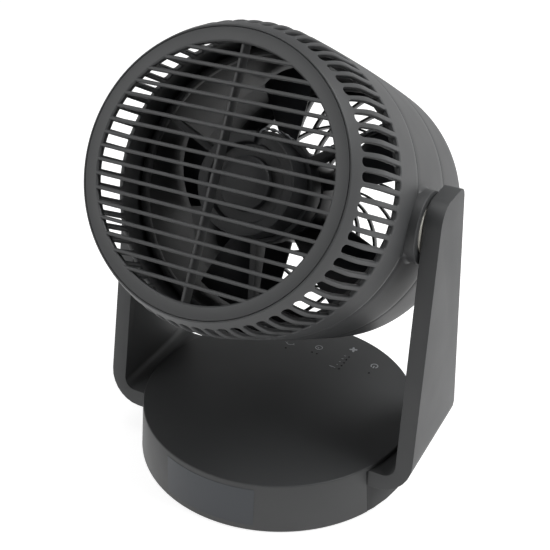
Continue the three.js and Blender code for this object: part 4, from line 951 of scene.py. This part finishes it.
beside = 36.8  # just outside the ring that holds the motor
line = smooth_line([
    polar(LEAD_ANGLE, 28.9, 47.4), polar(84, 34.3, 47.4), polar(70, beside, 52),
    polar(52, beside + 2, 63.6), polar(41, beside + 12, 66.1), polar(38, beside + 26, 69.6), polar(38, 85.9, 74.3),
], 22)
WIRE_RADIUS, WIRE_OFFSET, TWIST = 0.62, 0.5, 9.0
WIRE_SIDES = 12
for name, finish, phase in (("a", JACKET, 0.0), ("b", JACKET_DARK, math.pi)):
    verts, faces, travelled = [], [], 0.0
    across = Vector((0, 1, 0))
    for i, here in enumerate(line):
        way = (line[min(i + 1, len(line) - 1)] - line[max(i - 1, 0)]).normalized()
        across = (across - way * across.dot(way)).normalized()
        other = way.cross(across)
        travelled += (here - line[i - 1]).length if i else 0
        turn = phase + 2 * math.pi * travelled / TWIST
        core = here + (across * math.cos(turn) + other * math.sin(turn)) * WIRE_OFFSET
        for k in range(WIRE_SIDES):
            a = 2 * math.pi * k / WIRE_SIDES
            verts.append(core + (across * math.cos(a) + other * math.sin(a)) * WIRE_RADIUS)
        if i:
            here_ring, last_ring = WIRE_SIDES * i, WIRE_SIDES * (i - 1)
            for k in range(WIRE_SIDES):
                m = (k + 1) % WIRE_SIDES
                faces.append((last_ring + k, last_ring + m, here_ring + m, here_ring + k))
    faces += [tuple(range(WIRE_SIDES)), tuple(range(len(verts) - WIRE_SIDES, len(verts)))]
    wire = make(f"motor_lead_wire_{name}", verts, faces, HEAD, sharp=60)
    dress(wire, "head", finish, ["motor_lead"])
print("lead length:", round(sum((b - a).length for a, b in zip(line, line[1:])), 1), "mm")

# %% [markdown]
# ## What is left of the CAD solids
#
# The parts inside and underneath are simple turned or flat shapes. They keep their CAD meshes
# under a small edge rounding, and each gets the finish of the real part.

# %% Inner and lower parts
plan = [
    ("foot_plate", "foot", NYLON_BLACK, "black_plastic", 0.4),
    *[(f"foot_pad_{i}", "foot", RUBBER, "rubber", 0.4) for i in range(5)],
    ("glide_ring", "foot", ACETAL, "acetal", 0.2),
    ("fixed_gear", "foot", ACETAL, "acetal", 0.12),
    ("swing_washer", "foot", STEEL, "steel", 0.1),
    ("swing_screw", "foot", STEEL, "steel", 0.15),
    ("base_floor", "stand", NYLON_BLACK, "black_plastic", 0.3),
    ("control_board", "stand", BOARD, "board", 0.05),
    *[(f"touch_pad_{k}", "stand", RUBBER, "rubber", 0.1) for k in ("power", "speed", "timer", "swing")],
    ("cord_gland", "stand", RUBBER, "rubber", 0.3),
    ("swing_motor", "stand", STEEL, "steel", 0.5),
    ("pivot_pin_right", "stand", STEEL, "steel", 0.3),
    ("pivot_pin_left", "stand", STEEL, "steel", 0.3),
    ("swing_pinion", "pinion", ACETAL, "acetal", 0.12),
    ("friction_washer_right", "head", ACETAL, "acetal", 0.2),
    ("friction_washer_left", "head", ACETAL, "acetal", 0.2),
    ("air_duct", "head", ABS_DUCT, "dark_plastic", 0.3),
    ("motor_bracket", "head", NYLON_BLACK, "black_plastic", 0.4),
    ("motor_plate", "head", NYLON_BLACK, "black_plastic", 0.3),
    ("stator", "head", CORE, "core_steel", 0.1),
    ("rear_bearing", "head", STEEL, "steel", 0.2),
    ("front_bearing", "head", STEEL, "steel", 0.2),
    ("motor_shaft", "fan", STEEL, "steel", 0.2),
    ("rotor", "fan", CORE, "core_steel", 0.1),
]
for node, body, material, slot, bevel in plan:
    dress(copy_of(node, bevel), body, material, [node])
print("copied:", len(plan))

# %% [markdown]
# ## Camera
#
# The viewpoint was found by fitting the drum's two end circles, its outline, the base's top and
# the arms to the photograph. The lens is a medium telephoto, seen from the right and from above.

# %% Camera
DISTANCE = 717.94
FOCAL_SHARE = 1038.6 / 550  # focal length over picture width
azimuth, elevation, roll = math.radians(27.296), math.radians(30.428), math.radians(0.638)
target = Vector((-4.559, 0, 140.125)) * MM
back = Vector((
    math.sin(azimuth) * math.cos(elevation), -math.cos(azimuth) * math.cos(elevation), math.sin(elevation),
))
right = Vector((math.cos(azimuth), math.sin(azimuth), 0))
up = back.cross(right)
across = math.cos(roll) * right + math.sin(roll) * up
upward = -math.sin(roll) * right + math.cos(roll) * up
lens = bpy.data.cameras.new("camera")
lens.sensor_width = 36
lens.lens = lens.sensor_width * FOCAL_SHARE
lens.clip_start = 0.05
camera = bpy.data.objects.new("camera", lens)
bpy.context.scene.collection.objects.link(camera)
turn = Matrix((across, upward, back)).transposed().to_4x4()
camera.matrix_world = Matrix.Translation(target + back * DISTANCE * MM) @ turn
bpy.context.scene.camera = camera
print("lens:", round(lens.lens, 2), "mm, distance 718 mm")

# %% [markdown]
# ## Studio
#
# The photograph is a cut-out on white. The drum's upper right and the arm's outer side are its
# brightest faces and the base's top, in the drum's shade, one of the darkest, so the key light
# stands high on the right. A fainter box high on the left fills the face. The floor and the
# backdrop look white to the camera and in reflections but give the object little light, and the
# backdrop fades to a dim ceiling, so that dark plastic keeps its colour.

# %% Lights, floor and world
def soft_box(name, place, aim, size, power):
    data = bpy.data.lights.new(name, "AREA")
    data.shape = "RECTANGLE"
    data.size, data.size_y = size
    data.energy = power
    light = bpy.data.objects.new(name, data)
    bpy.context.scene.collection.objects.link(light)
    light.location = place
    light.rotation_euler = (Vector(aim) - Vector(place)).to_track_quat("-Z", "Y").to_euler()
    return light


def any_of(tree, path):
    """1 for camera, glossy and transmission rays."""
    outputs = path.outputs
    two = add(tree, "ShaderNodeMath", [(0, outputs["Is Camera Ray"]), (1, outputs["Is Glossy Ray"])],
              operation="MAXIMUM")
    return add(tree, "ShaderNodeMath", [(0, two.outputs[0]), (1, outputs["Is Transmission Ray"])],
               operation="MAXIMUM")


centre = (0, 0, 0.17)
soft_box("key_right", (0.9, 0.35, 1.4), centre, (0.9, 0.9), 20)
soft_box("fill_front", (-0.8, -1.25, 1.15), centre, (1.0, 0.7), 7)
soft_box("top", (-0.3, 0.1, 1.7), centre, (0.8, 0.8), 4)

AMBIENT = 0.12  # light from all round, for diffuse rays
CEILING = 0.2  # what stands over the white backdrop
BACKDROP_TOP = (0.02, 0.42)  # between these heights of a ray's direction it fades
FLOOR_GLOW = 0.8  # makes the pale card white to the camera
world = bpy.data.worlds.new("studio")
bpy.context.scene.world = world
world.use_nodes = True
tree = world.node_tree
tree.nodes.clear()
path = add(tree, "ShaderNodeLightPath")
seen = any_of(tree, path)
heading = add(tree, "ShaderNodeTexCoord")
height = add(tree, "ShaderNodeSeparateXYZ", [("Vector", heading.outputs["Generated"])])
overhead = add(tree, "ShaderNodeMapRange", [("Value", height.outputs["Z"])],
               interpolation_type="SMOOTHSTEP")
for name, value in zip(("From Min", "From Max", "To Min", "To Max"), (*BACKDROP_TOP, 1.0, CEILING)):
    overhead.inputs[name].default_value = value
dim = add(tree, "ShaderNodeBackground", Color=(1, 1, 1, 1), Strength=AMBIENT)
white = add(tree, "ShaderNodeBackground", [("Strength", overhead.outputs["Result"])], Color=(1, 1, 1, 1))
mix = add(tree, "ShaderNodeMixShader",
          [("Fac", seen.outputs[0]), (1, dim.outputs[0]), (2, white.outputs[0])])
add(tree, "ShaderNodeOutputWorld", [("Surface", mix.outputs[0])])

corners = [(x * 3000, y * 3000, -0.2) for x, y in ((-1, -1), (1, -1), (1, 1), (-1, 1))]
floor = make("floor", corners, [(0, 1, 2, 3)], MILLIMETRES)
material, tree, shader = new_material("floor_pale_card", "d2d2d2", 0.9)
glow = add(tree, "ShaderNodeLightPath")
bright = any_of(tree, glow)
bright = add(tree, "ShaderNodeMath", [(0, bright.outputs[0])], operation="MULTIPLY")
bright.inputs[1].default_value = FLOOR_GLOW
shader.inputs["Emission Color"].default_value = (1, 1, 1, 1)
tree.links.new(bright.outputs[0], shader.inputs["Emission Strength"])
floor.data.materials.append(material)
bpy.context.scene.view_settings.view_transform = "Standard"
